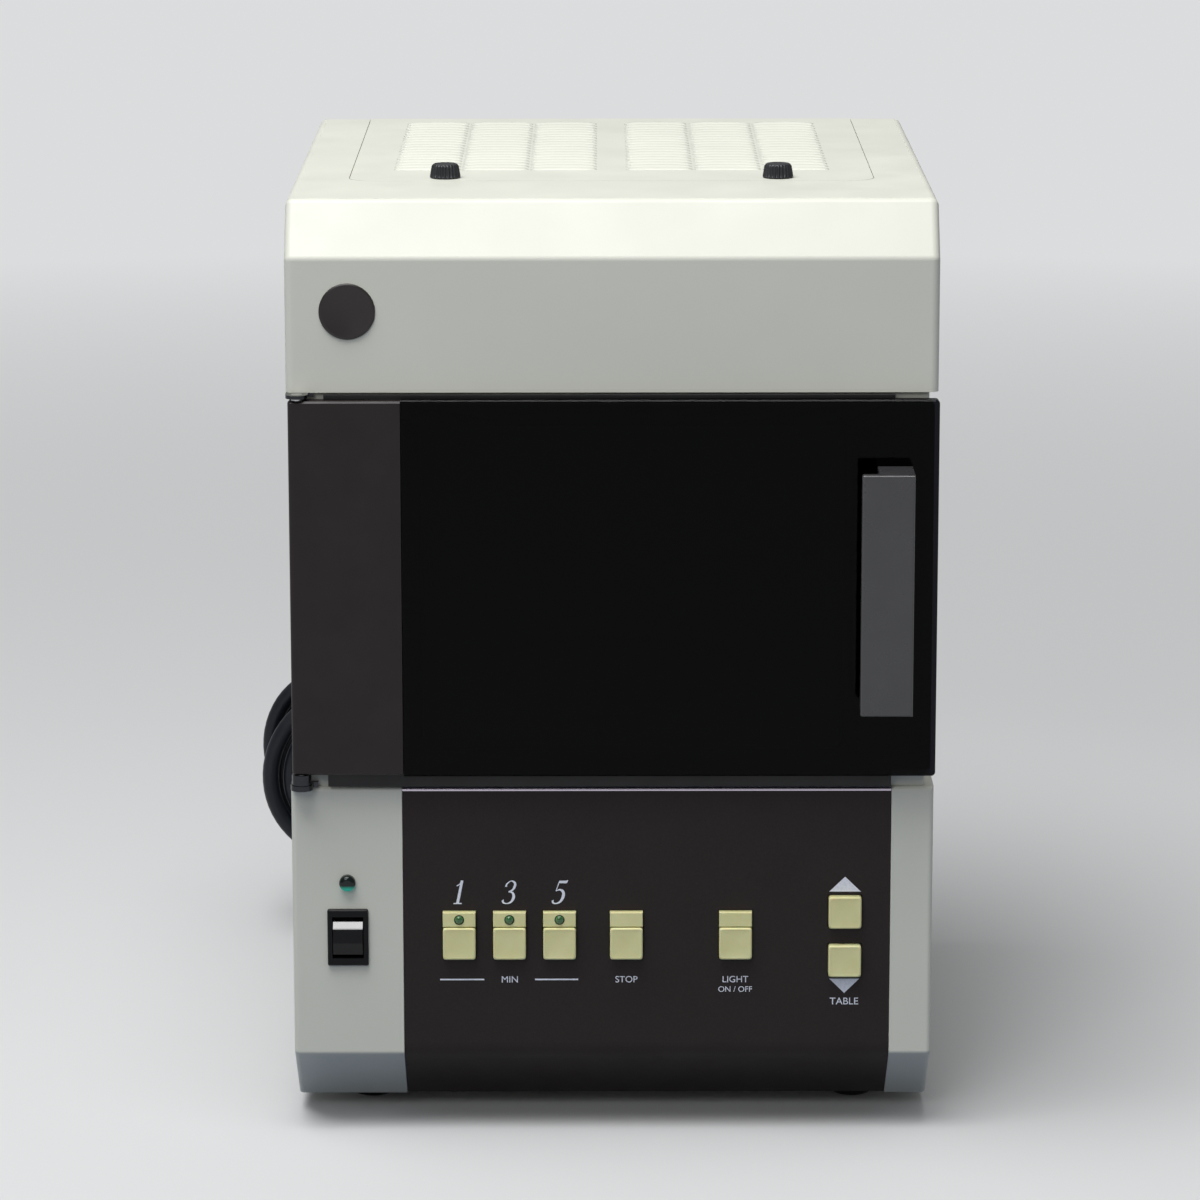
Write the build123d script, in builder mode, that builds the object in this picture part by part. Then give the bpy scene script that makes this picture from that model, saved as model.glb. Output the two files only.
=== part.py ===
from build123d import *
import os
from math import acos, atan2, cos, degrees, pi, radians, sin, sqrt, tan

# Dental lab light curing unit: a base with a control panel, a curing chamber with a
# smoked side-hung door, and a cap whose louvred lid gives way to the lamps.
# Millimetres. X to the right, Y to the back, Z up, standing on Z = 0.
# "Depth" is the distance behind the front face of the base and cap.

# ---------------------------------------------------------------- driving dimensions
WIDTH = 290.0
DEPTH = 313.0
FOOT_HEIGHT = 8.0
BASE_TOP = 162.5
BASE_BEND = 37.2          # where the front starts to slope back
BASE_TOE = 33.0           # depth of the slope's lower edge
CAP_BOTTOM = 343.0
CAP_FOLD = 403.0          # where the cap's front starts to slope back
CAP_BROW = 16.5           # depth of the slope's upper edge
TOP = 427.2
WALL = 3.0
FRONT_WALL = 4.5
HANDLE_REACH = 30.0       # handle in front of the face
HOOK_REACH = 61.0         # cord hook behind the back panel
FACE_Y = -(DEPTH + HOOK_REACH - HANDLE_REACH) / 2

PANEL_LEFT = -95.0
PANEL_RIGHT = 126.0
PANEL_FOLD = 3.8          # depth of the panel's fold over the shelf
PANEL_SET = 0.3           # the panel's face lies this far behind the cheeks
PANEL_THICK = 2.0
KEY = 14.9
KEY_GAP = 0.35
KEY_TRAVEL = 1.0
KEY_Z = 89.8              # middle of the square key under each lamp block
KEY_PROUD = 3.4
BLOCK_HEIGHT = 6.9
LED_RADIUS = 1.95
LED_RIM = 0.35            # dark ring of air round each lamp
START_KEY_X = {"1": -69.5, "3": -46.7, "5": -24.0}
STOP_KEY_X = 6.3
SUB_LIGHT_KEY_X = 55.8
TABLE_KEY_X = 105.4
TABLE_KEY_UP_Z = 104.2
TABLE_KEY_DOWN_Z = 81.4

ROCKER_X = -120.0
ROCKER_Z = 92.5
BEZEL_WIDTH = 18.5
BEZEL_HEIGHT = 26.3
ROCKER_WIDTH = 13.4
ROCKER_HEIGHT = 18.6
PILOT_Z = 118.0
PILOT_RADIUS = 3.75

DOOR_LEFT = -143.8
DOOR_RIGHT = 145.0
DOOR_BOTTOM = 169.4
DOOR_TOP = 340.9
DOOR_THICK = 8.0
WINDOW_THICK = 5.0
STRIP_RIGHT = -94.0
STRIP_LAP = 16.0
HINGE_X = -139.8
HINGE_DEPTH = -4.0
PIN_RADIUS = 2.5
PIN_BORE = 2.56

CABINET_HALF = 141.0
CABINET_FRONT = 3.0
SHEET = 2.5
OPENING_HALF = 112.5
OPENING_BOTTOM = 172.0
OPENING_TOP = 333.0

LINER_HALF = 114.0
LINER_BACK = 206.0
LINER_SHEET = 1.5
ROOF_TOP = 366.0
ROOF_TOP_HALF = 50.0
TABLE_DEPTH = 106.0       # depth of the turntable's axis
TABLE_Z = 185.0
TABLE_RADIUS = 62.0
SPINDLE_RADIUS = 5.0
RUNNING_FIT = 0.05

LID_HALF = 119.6
LID_FRONT = 77.0
LID_GAP = 0.35
LID_CORNER = 11.0
KNOB_X = 76.0
KNOB_DEPTH = 88.0
KNOB_RADIUS = 7.15
KNOB_HEIGHT = 6.5

MODULE = 1.0
PRESSURE_ANGLE = 20.0
BACKLASH = 0.25
SPINDLE_TEETH = 45
SPIN_TEETH = 18
LIFT_TEETH = 20
LIFT_TRAVEL = 40.0
CARRIAGE_Z = 60.0
GEAR_Z = 50.0
RACK_PITCH_X = 62.0
LIFT_PINION_Z = 70.0

FAN_SIZE = 92.0
FAN_DEEP = 25.0
FAN_Z = 290.0
REAR_PANEL_THICK = 1.5

CORD = 8.5
COIL_PITCH = 10.6         # step between turns, sideways and from layer to layer
COIL_GAP = 16.0           # wider step between the two pairs of layers
COIL_LEFT = 43.75         # outermost turn on the left, from the coil's axis
COIL_FRONT_X = -132.0
COIL_FRONT_Z = 84.5
COIL_BACK_X = -136.0
COIL_BACK_Z = 95.0
COIL_BACK_RADIUS = 41.0
COIL_DEPTH = 325.0
RELIEF_LENGTH = 32.0
GLAND_FLANGE = 3.0
HANG_RUN = 39.0           # runs of the cord where it hangs from the gland to the coil
HOOK_ROD = 3.0

HALF = WIDTH / 2
SLOPE_TURN = atan2(BASE_TOE, BASE_BEND - FOOT_HEIGHT)
BACK_Y = FACE_Y + DEPTH
SHELL_DEPTH = DEPTH - REAR_PANEL_THICK
TABLE_Y = FACE_Y + TABLE_DEPTH
ELBOW = COIL_DEPTH - DEPTH - GLAND_FLANGE
COIL_START_X = COIL_FRONT_X + COIL_LEFT + COIL_PITCH / 2
GLAND_X = COIL_START_X + HANG_RUN * (1 + 2 * sin(pi / 4))
GLAND_Z = COIL_FRONT_Z - CORD + RELIEF_LENGTH + ELBOW

os.makedirs("parts", exist_ok=True)


def save(builder, name):
    builder.part.label = name
    export_step(builder.part, f"parts/{name}.step")


def face_plane(depth):
    """Sketch plane that faces the front: x is X, y is Z, extrude(+) comes forward."""
    return Plane(origin=(0, FACE_Y + depth, 0), x_dir=(1, 0, 0), z_dir=(0, -1, 0))


def side_plane(x):
    """Sketch plane across the width: x is Y, y is Z, extrude(+) goes right."""
    return Plane.YZ.offset(x)


def level(z):
    return Plane.XY.offset(z)


def bend_z(inset):
    """Height of the front's bend, a given thickness inside the outer face."""
    return BASE_BEND + inset * tan(SLOPE_TURN / 2)


def toe_y(inset, z):
    """Y of the front's slope at height z, a given thickness inside the outer face."""
    slope_at_bend = FACE_Y + inset
    return slope_at_bend + (bend_z(inset) - z) * tan(SLOPE_TURN)


def front_band(outer, inner, top, bottom):
    """Closed outline (Y, Z) of a skin that follows the front face and its slope."""
    return [
        (FACE_Y + outer, top),
        (FACE_Y + outer, bend_z(outer)),
        (toe_y(outer, bottom), bottom),
        (toe_y(inner, bottom), bottom),
        (FACE_Y + inner, bend_z(inner)),
        (FACE_Y + inner, top),
    ]


# ---------------------------------------------------------------- base
KEY_COLUMNS = list(START_KEY_X.values()) + [STOP_KEY_X, SUB_LIGHT_KEY_X]
BLOCK_Z = KEY_Z + KEY / 2 + KEY_GAP + BLOCK_HEIGHT / 2
COLUMN_HEIGHT = KEY + KEY_GAP + BLOCK_HEIGHT
COLUMN_Z = KEY_Z - KEY / 2 + COLUMN_HEIGHT / 2

with BuildPart() as base_housing:
    with BuildSketch(side_plane(-HALF)):
        with BuildLine():
            Polyline(
                (FACE_Y, BASE_BEND),
                (FACE_Y, BASE_TOP),
                (FACE_Y + SHELL_DEPTH, BASE_TOP),
                (FACE_Y + SHELL_DEPTH, FOOT_HEIGHT),
                (FACE_Y + BASE_TOE, FOOT_HEIGHT),
                close=True,
            )
        make_face()
    extrude(amount=WIDTH)
    front_edges = base_housing.edges().filter_by(
        lambda e: e.center().Y < FACE_Y + BASE_TOE - 1 and e.center().Z > FOOT_HEIGHT + 1
    )
    fillet(front_edges, 2.2)
    with BuildSketch(side_plane(-HALF + WALL)):
        with BuildLine():
            Polyline(
                (FACE_Y + FRONT_WALL, bend_z(FRONT_WALL)),
                (FACE_Y + FRONT_WALL, BASE_TOP - WALL),
                (BACK_Y, BASE_TOP - WALL),
                (BACK_Y, FOOT_HEIGHT - 1),
                (toe_y(FRONT_WALL, FOOT_HEIGHT - 1), FOOT_HEIGHT - 1),
                close=True,
            )
        make_face()
    extrude(amount=WIDTH - 2 * WALL, mode=Mode.SUBTRACT)
    # recess for the control panel, which wraps over the slope
    with BuildSketch(side_plane(PANEL_LEFT)):
        with BuildLine():
            Polyline(*front_band(-5, PANEL_SET + PANEL_THICK, BASE_TOP + 1, FOOT_HEIGHT - 3), close=True)
        make_face()
        with BuildLine():
            Polyline(
                (FACE_Y, BASE_TOP + 1),
                (FACE_Y + PANEL_FOLD + 0.2, BASE_TOP + 1),
                (FACE_Y + PANEL_FOLD + 0.2, BASE_TOP - PANEL_SET - PANEL_THICK),
                (FACE_Y, BASE_TOP - PANEL_SET - PANEL_THICK),
                close=True,
            )
        make_face()
    extrude(amount=PANEL_RIGHT - PANEL_LEFT, mode=Mode.SUBTRACT)
    # windows behind the keys, the rocker and the pilot lamp
    with BuildSketch(face_plane(-1)):
        with Locations(((PANEL_LEFT + PANEL_RIGHT) / 2, KEY_Z + 3)):
            RectangleRounded(PANEL_RIGHT - PANEL_LEFT - 20, 62, 4)
        with Locations((ROCKER_X, ROCKER_Z)):
            Rectangle(BEZEL_WIDTH - 2, BEZEL_HEIGHT - 2)
        with Locations((ROCKER_X, PILOT_Z)):
            Circle(PILOT_RADIUS - 0.35)
    extrude(amount=-(FRONT_WALL + 2), mode=Mode.SUBTRACT)
    # joint line between the fascia and the shelf under the door
    with BuildSketch(level(BASE_TOP)):
        with Locations((0, FACE_Y + 4.3)):
            Rectangle(WIDTH - 8, 1.0)
    extrude(amount=-1.2, mode=Mode.SUBTRACT)
    # holes in the shelf for the spindle and the lamp wiring
    with BuildSketch(level(BASE_TOP)):
        with Locations((0, TABLE_Y)):
            Circle(28)
        with Locations((0, FACE_Y + 255)):
            RectangleRounded(170, 70, 8)
    extrude(amount=-2 * WALL, mode=Mode.SUBTRACT)
save(base_housing, "base_housing")

with BuildPart() as control_panel:
    # one bent sheet: a short fold over the shelf, the face and the slope below it
    panel_top = BASE_TOP - PANEL_SET
    front_skin = front_band(PANEL_SET, PANEL_SET + PANEL_THICK, panel_top, FOOT_HEIGHT + 0.5)
    fold = [(FACE_Y + PANEL_FOLD, panel_top - PANEL_THICK), (FACE_Y + PANEL_FOLD, panel_top)]
    under_fold = (FACE_Y + PANEL_SET + PANEL_THICK, panel_top - PANEL_THICK)
    with BuildSketch(side_plane(PANEL_LEFT + 0.2)):
        with BuildLine():
            Polyline(*front_skin[:-1], under_fold, *fold, close=True)
        make_face()
    extrude(amount=PANEL_RIGHT - PANEL_LEFT - 0.4)
    bend_edges = control_panel.edges().filter_by(Axis.X).filter_by(
        lambda e: abs(e.center().Z - BASE_BEND) < 2
    )
    fillet(bend_edges.sort_by(Axis.Y)[0], 11)
    fillet(
        control_panel.edges().filter_by(Axis.X).filter_by(
            lambda e: e.center().Z > panel_top - 0.1 and e.center().Y < FACE_Y + 1
        ),
        1.2,
    )
    with BuildSketch(face_plane(-1)):
        for key_x in KEY_COLUMNS:
            with Locations((key_x, COLUMN_Z)):
                RectangleRounded(KEY + 2 * KEY_GAP, COLUMN_HEIGHT + 2 * KEY_GAP, 0.8)
        for key_z in (TABLE_KEY_UP_Z, TABLE_KEY_DOWN_Z):
            with Locations((TABLE_KEY_X, key_z)):
                RectangleRounded(KEY + 2 * KEY_GAP, KEY + 2 * KEY_GAP, 0.8)
    extrude(amount=-8, mode=Mode.SUBTRACT)
save(control_panel, "control_panel")

FEET = [(x, y) for x in (-112, 112) for y in (FACE_Y + 62, FACE_Y + 285)]

with BuildPart() as base_plate:
    plate_front = toe_y(FRONT_WALL, FOOT_HEIGHT) + 0.4
    plate_back = FACE_Y + SHELL_DEPTH - 0.2
    with BuildSketch(level(FOOT_HEIGHT)):
        with Locations((0, (plate_front + plate_back) / 2)):
            Rectangle(WIDTH - 2 * WALL - 0.6, plate_back - plate_front)
        with Locations(*FEET):
            Circle(2.6, mode=Mode.SUBTRACT)
        with Locations((80, FACE_Y + 100), (80, FACE_Y + 230)):
            with GridLocations(0, 9, 1, 7):
                SlotOverall(44, 4, mode=Mode.SUBTRACT)
    extrude(amount=1.5)
save(base_plate, "base_plate")

with BuildPart() as rubber_feet:
    for foot_x, foot_y in FEET:
        with BuildSketch(Plane(origin=(foot_x, foot_y, 0), x_dir=(1, 0, 0), z_dir=(0, -1, 0))):
            with BuildLine():
                Polyline(
                    (2.7, FOOT_HEIGHT),
                    (11.5, FOOT_HEIGHT),
                    (11.5, 6.4),
                    (9.6, 0.8),
                    (8.8, 0),
                    (5.2, 0),
                    (5.2, 4),
                    (2.7, 4),
                    close=True,
                )
            make_face()
        revolve(axis=Axis((foot_x, foot_y, 0), (0, 0, 1)))
save(rubber_feet, "rubber_feet")

# ---------------------------------------------------------------- cabinet, cap and back
with BuildPart() as cabinet_shell:
    with BuildSketch(level(BASE_TOP)):
        cabinet_length = SHELL_DEPTH - CABINET_FRONT
        with Locations((0, FACE_Y + CABINET_FRONT + cabinet_length / 2)):
            with GridLocations(2 * CABINET_HALF - SHEET, 0, 2, 1):
                Rectangle(SHEET, cabinet_length)
    extrude(amount=CAP_BOTTOM - BASE_TOP)
    with BuildSketch(face_plane(CABINET_FRONT)):
        with Locations((0, (BASE_TOP + CAP_BOTTOM) / 2)):
            Rectangle(2 * CABINET_HALF, CAP_BOTTOM - BASE_TOP)
        with Locations((0, (OPENING_BOTTOM + OPENING_TOP) / 2)):
            RectangleRounded(2 * OPENING_HALF, OPENING_TOP - OPENING_BOTTOM, 4, mode=Mode.SUBTRACT)
    extrude(amount=-SHEET)
    fillet(
        cabinet_shell.edges().filter_by(Axis.Z).filter_by(
            lambda e: e.center().Y < FACE_Y + CABINET_FRONT + 0.1 and abs(e.center().X) > CABINET_HALF - 0.1
        ),
        1.2,
    )
save(cabinet_shell, "cabinet_shell")

CAP_TURN = atan2(CAP_BROW, TOP - CAP_FOLD)
CAP_TOP_TURN = pi / 2 - CAP_TURN
LEDGE = 2.5
CAP_LIP = 6.0

with BuildPart() as top_cap:
    with BuildSketch(side_plane(-HALF)):
        with BuildLine():
            Polyline(
                (FACE_Y, CAP_BOTTOM),
                (FACE_Y, CAP_FOLD),
                (FACE_Y + CAP_BROW, TOP),
                (FACE_Y + SHELL_DEPTH, TOP),
                (FACE_Y + SHELL_DEPTH, CAP_BOTTOM),
                close=True,
            )
        make_face()
    extrude(amount=WIDTH)
    round_edges = top_cap.edges().filter_by(
        lambda e: e.center().Z > CAP_BOTTOM + 5
        and e.center().Y < FACE_Y + SHELL_DEPTH - 5
    )
    fillet(round_edges, 3.6)
    # cavity above the bottom lip, open at the back
    with BuildSketch(side_plane(-HALF + WALL)):
        with BuildLine():
            Polyline(
                (FACE_Y + WALL, CAP_BOTTOM + LEDGE),
                (FACE_Y + WALL, CAP_FOLD - WALL * tan(CAP_TURN / 2)),
                (FACE_Y + CAP_BROW + WALL * tan(CAP_TOP_TURN / 2), TOP - WALL),
                (BACK_Y, TOP - WALL),
                (BACK_Y, CAP_BOTTOM + LEDGE),
                close=True,
            )
        make_face()
    extrude(amount=WIDTH - 2 * WALL, mode=Mode.SUBTRACT)
    with BuildSketch(level(CAP_BOTTOM)):
        opening_y = (FACE_Y + WALL + CAP_LIP + BACK_Y) / 2
        with Locations((0, opening_y)):
            Rectangle(WIDTH - 2 * WALL - 2 * CAP_LIP, BACK_Y - (FACE_Y + WALL + CAP_LIP))
    extrude(amount=LEDGE, mode=Mode.SUBTRACT)
    # ledge that carries the lid, with the nuts' holes
    with BuildSketch(level(TOP - WALL)):
        with Locations((0, (FACE_Y + 71 + FACE_Y + SHELL_DEPTH) / 2)):
            Rectangle(2 * LID_HALF + 12, SHELL_DEPTH - 71)
        with Locations((0, (FACE_Y + 99 + FACE_Y + 301) / 2)):
            RectangleRounded(2 * LID_HALF - 22, 202, 6, mode=Mode.SUBTRACT)
        with Locations((-KNOB_X, FACE_Y + KNOB_DEPTH), (KNOB_X, FACE_Y + KNOB_DEPTH)):
            Circle(2.0 + RUNNING_FIT, mode=Mode.SUBTRACT)
    extrude(amount=-LEDGE)
    # the lid's seat, open at the back
    with BuildSketch(level(TOP - WALL)):
        seat_length = DEPTH + 20 - LID_FRONT + LID_GAP
        with Locations((0, FACE_Y + LID_FRONT - LID_GAP + seat_length / 2)):
            RectangleRounded(2 * LID_HALF + 2 * LID_GAP, seat_length, LID_CORNER)
    extrude(amount=WALL + 1, mode=Mode.SUBTRACT)
save(top_cap, "top_cap")

FUSE_X = -20.0
FUSE_Z = 60.0
PANEL_EDGE = 1.5
VENT_ROWS = 2

with BuildPart() as rear_panel:
    with BuildSketch(face_plane(DEPTH)):
        with Locations((0, (FOOT_HEIGHT + 3 + TOP - WALL - LEDGE) / 2)):
            RectangleRounded(WIDTH - 2 * PANEL_EDGE, TOP - WALL - LEDGE - FOOT_HEIGHT - 3, 3)
        with Locations((0, FAN_Z)):
            with PolarLocations(31, 18):
                SlotOverall(24, 4.2, mode=Mode.SUBTRACT)
            with PolarLocations(10, 6):
                SlotOverall(12, 3.4, mode=Mode.SUBTRACT)
        with Locations((85, 95)):
            with GridLocations(9, 44, 10, VENT_ROWS):
                SlotOverall(34, 4, rotation=90, mode=Mode.SUBTRACT)
        with Locations((0, 388)):
            with GridLocations(12, 0, 17, 1):
                SlotOverall(30, 4, rotation=90, mode=Mode.SUBTRACT)
        with Locations((GLAND_X, GLAND_Z)):
            Circle(6.2, mode=Mode.SUBTRACT)
        with Locations((FUSE_X, FUSE_Z)):
            Circle(6.6, mode=Mode.SUBTRACT)
    extrude(amount=REAR_PANEL_THICK)
save(rear_panel, "rear_panel")

# ---------------------------------------------------------------- screws of the case
SCREW_Z = (22, 150, 185, 320, 356, 412)

with BuildPart() as case_screws:
    for side in (-1, 1):
        for screw_z in SCREW_Z:
            screw_axis = Plane(origin=(side * 137, BACK_Y, screw_z), x_dir=(1, 0, 0), z_dir=(0, 1, 0))
            with BuildSketch(screw_axis):
                Circle(3.2)
            extrude(amount=2.0)
    fillet(case_screws.edges().filter_by(lambda e: e.center().Y > BACK_Y + 1.9), 0.9)
    for foot_x, foot_y in FEET:
        with BuildSketch(level(0.9)):
            with Locations((foot_x, foot_y)):
                Circle(4.6)
        extrude(amount=3.1)
        with BuildSketch(level(4.0)):
            with Locations((foot_x, foot_y)):
                Circle(2.5)
        extrude(amount=9)
save(case_screws, "case_screws")

# ---------------------------------------------------------------- door
TONGUE = 5.0              # radius of the bracket's rounded end
BRACKET_RIGHT = -132.6

with BuildPart() as hinge_brackets:
    for plate_z, plate_thick in ((BASE_TOP, 2.4), (DOOR_TOP + 0.5, CAP_BOTTOM - DOOR_TOP - 0.5)):
        with BuildSketch(level(plate_z)):
            with Locations((HINGE_X, FACE_Y + HINGE_DEPTH)):
                Circle(TONGUE)
            with Locations((HINGE_X, FACE_Y + HINGE_DEPTH + 3.4)):
                Rectangle(2 * TONGUE, 6.8)
            with Locations((BRACKET_RIGHT, FACE_Y + 2.8)):
                Rectangle(BRACKET_RIGHT - HINGE_X, 2.8, align=(Align.MAX, Align.MAX))
        extrude(amount=plate_thick)
    with BuildSketch(level(BASE_TOP + 2.4)):
        with Locations((HINGE_X, FACE_Y + HINGE_DEPTH)):
            Circle(4.4)
    extrude(amount=DOOR_BOTTOM + 0.6 - 0.35 - BASE_TOP - 2.4)
    with BuildSketch(level(BASE_TOP)):
        with Locations((HINGE_X, FACE_Y + HINGE_DEPTH)):
            Circle(PIN_RADIUS)
    extrude(amount=12, mode=Mode.SUBTRACT)
    with BuildSketch(level(DOOR_TOP)):
        with Locations((HINGE_X, FACE_Y + HINGE_DEPTH)):
            Circle(PIN_RADIUS)
    extrude(amount=12, mode=Mode.SUBTRACT)
save(hinge_brackets, "hinge_brackets")

with BuildPart() as hinge_pins:
    with BuildSketch(level(BASE_TOP)):
        with Locations((HINGE_X, FACE_Y + HINGE_DEPTH)):
            Circle(PIN_RADIUS)
    extrude(amount=19)
    with BuildSketch(level(CAP_BOTTOM)):
        with Locations((HINGE_X, FACE_Y + HINGE_DEPTH)):
            Circle(PIN_RADIUS)
    extrude(amount=-14)
save(hinge_pins, "hinge_pins")

with BuildPart() as door_hinge_strip:
    strip_bottom = DOOR_BOTTOM + 0.6
    strip_height = DOOR_TOP - DOOR_BOTTOM - 1.2
    with BuildSketch(level(strip_bottom)):
        with BuildLine():
            Polyline(
                (DOOR_LEFT, FACE_Y - DOOR_THICK),
                (STRIP_RIGHT, FACE_Y - DOOR_THICK),
                (STRIP_RIGHT, FACE_Y - DOOR_THICK + WINDOW_THICK),
                (STRIP_RIGHT - STRIP_LAP, FACE_Y - DOOR_THICK + WINDOW_THICK),
                (STRIP_RIGHT - STRIP_LAP, FACE_Y),
                (DOOR_LEFT, FACE_Y),
                close=True,
            )
        make_face()
    extrude(amount=strip_height)
    fillet(
        door_hinge_strip.edges().filter_by(Axis.Z).filter_by(lambda e: e.center().X < DOOR_LEFT + 0.1), 2.0
    )
    chamfer(
        door_hinge_strip.edges().filter_by(Axis.X).filter_by(
            lambda e: e.center().Y < FACE_Y - DOOR_THICK + 0.1
        ),
        0.8,
    )
    for bore_z, bore_way in ((strip_bottom, 1), (strip_bottom + strip_height, -1)):
        with BuildSketch(level(bore_z)):
            with Locations((HINGE_X, FACE_Y + HINGE_DEPTH)):
                Circle(PIN_BORE)
        extrude(amount=bore_way * 14, mode=Mode.SUBTRACT)
save(door_hinge_strip, "door_hinge_strip")

HANDLE_LEFT = 109.8
HANDLE_RIGHT = 133.2
HANDLE_BOTTOM = 202.0
HANDLE_TOP = 311.0
HANDLE_STEM = 15.5
HANDLE_PLATE = 4.0
HANDLE_SCREW_Z = (222, 291)
HANDLE_SCREW_X = HANDLE_RIGHT - HANDLE_STEM / 2

with BuildPart() as door_window:
    with BuildSketch(face_plane(-DOOR_THICK + WINDOW_THICK)):
        window_left = STRIP_RIGHT + 0.3
        with Locations(((window_left + DOOR_RIGHT) / 2, (DOOR_BOTTOM + DOOR_TOP) / 2)):
            Rectangle(DOOR_RIGHT - window_left, DOOR_TOP - DOOR_BOTTOM)
        for screw_z in HANDLE_SCREW_Z:
            with Locations((HANDLE_SCREW_X, screw_z)):
                Circle(2.1, mode=Mode.SUBTRACT)
    extrude(amount=WINDOW_THICK)
    fillet(door_window.edges().filter_by(Axis.Y).filter_by(lambda e: e.center().X > DOOR_RIGHT - 1), 1.8)
    face_edges = door_window.edges().filter_by(lambda e: e.center().Y < FACE_Y - DOOR_THICK + 0.1)
    chamfer(face_edges.filter_by(lambda e: e.length > 20 and e.center().X > window_left + 1), 0.6)
save(door_window, "door_window")

FRAME_LEFT = STRIP_RIGHT - STRIP_LAP + 0.2
FRAME_RIGHT = 143.0
RAIL_LEFT = -128.0        # the frame's rails, which close the gaps above and below the window
RAIL_RIGHT = 125.5
RAIL_BOTTOM = BASE_TOP + 1.1
RAIL_TOP = CAP_BOTTOM - 0.6
SIGHT_WIDTH = 188.0
SIGHT_HEIGHT = 147.0

with BuildPart() as door_frame:
    door_middle = (DOOR_BOTTOM + DOOR_TOP) / 2
    with BuildSketch(face_plane(0)):
        with Locations(((FRAME_LEFT + FRAME_RIGHT) / 2, door_middle)):
            RectangleRounded(FRAME_RIGHT - FRAME_LEFT, DOOR_TOP - DOOR_BOTTOM - 4, 1.5)
        rail_length = RAIL_RIGHT - RAIL_LEFT
        for rail_low, rail_high in ((RAIL_BOTTOM, DOOR_BOTTOM + 0.4), (DOOR_TOP - 0.4, RAIL_TOP)):
            with Locations(((RAIL_LEFT + RAIL_RIGHT) / 2, (rail_low + rail_high) / 2)):
                Rectangle(rail_length, rail_high - rail_low)
        with Locations(((FRAME_LEFT + RAIL_RIGHT) / 2, door_middle)):
            Rectangle(RAIL_RIGHT - FRAME_LEFT - 3, DOOR_TOP - DOOR_BOTTOM)
        with Locations((9, door_middle)):
            RectangleRounded(SIGHT_WIDTH, SIGHT_HEIGHT, 5, mode=Mode.SUBTRACT)
        for screw_z in HANDLE_SCREW_Z:
            with Locations((HANDLE_SCREW_X, screw_z)):
                Circle(2.1, mode=Mode.SUBTRACT)
    extrude(amount=DOOR_THICK - WINDOW_THICK)
save(door_frame, "door_frame")

GASKET_WIDTH = 6.0
GASKET_THICK = 2.5

with BuildPart() as door_gasket:
    with BuildSketch(face_plane(GASKET_THICK)):
        with Locations((4, (OPENING_BOTTOM + OPENING_TOP) / 2)):
            RectangleRounded(2 * OPENING_HALF + 10, OPENING_TOP - OPENING_BOTTOM + 6, 5)
            RectangleRounded(
                2 * OPENING_HALF + 10 - 2 * GASKET_WIDTH,
                OPENING_TOP - OPENING_BOTTOM + 6 - 2 * GASKET_WIDTH,
                3,
                mode=Mode.SUBTRACT,
            )
    extrude(amount=GASKET_THICK)
save(door_gasket, "door_gasket")

with BuildPart() as door_handle:
    with BuildSketch(level(HANDLE_BOTTOM)):
        with BuildLine():
            Polyline(
                (HANDLE_LEFT, FACE_Y - HANDLE_REACH),
                (HANDLE_RIGHT, FACE_Y - HANDLE_REACH),
                (HANDLE_RIGHT, FACE_Y - DOOR_THICK),
                (HANDLE_RIGHT - HANDLE_STEM, FACE_Y - DOOR_THICK),
                (HANDLE_RIGHT - HANDLE_STEM, FACE_Y - HANDLE_REACH + HANDLE_PLATE),
                (HANDLE_LEFT, FACE_Y - HANDLE_REACH + HANDLE_PLATE),
                close=True,
            )
        make_face()
    extrude(amount=HANDLE_TOP - HANDLE_BOTTOM)
    plate_back = FACE_Y - HANDLE_REACH + HANDLE_PLATE
    plate_edges = door_handle.edges().filter_by(
        lambda e: e.center().Y < FACE_Y - HANDLE_REACH + 0.1
        or (e.center().X < HANDLE_LEFT + 0.1 and e.center().Y < plate_back + 0.1)
    )
    fillet(plate_edges, 1.0)
    with BuildSketch(face_plane(-DOOR_THICK)):
        for screw_z in HANDLE_SCREW_Z:
            with Locations((HANDLE_SCREW_X, screw_z)):
                Circle(2.0)
    extrude(amount=10, mode=Mode.SUBTRACT)
save(door_handle, "door_handle")

with BuildPart() as handle_screws:
    for radius, reach in ((2.0, DOOR_THICK + 9), (3.8, -1.8)):
        with BuildSketch(face_plane(0)):
            for screw_z in HANDLE_SCREW_Z:
                with Locations((HANDLE_SCREW_X, screw_z)):
                    Circle(radius)
        extrude(amount=reach)
save(handle_screws, "handle_screws")

with BuildPart() as magnet_catch:
    with BuildSketch(face_plane(CABINET_FRONT)):
        for catch_z in (212, 296):
            with Locations((134.2, catch_z)):
                RectangleRounded(6.4, 30, 1)
    extrude(amount=2.6)
save(magnet_catch, "magnet_catch")

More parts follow.
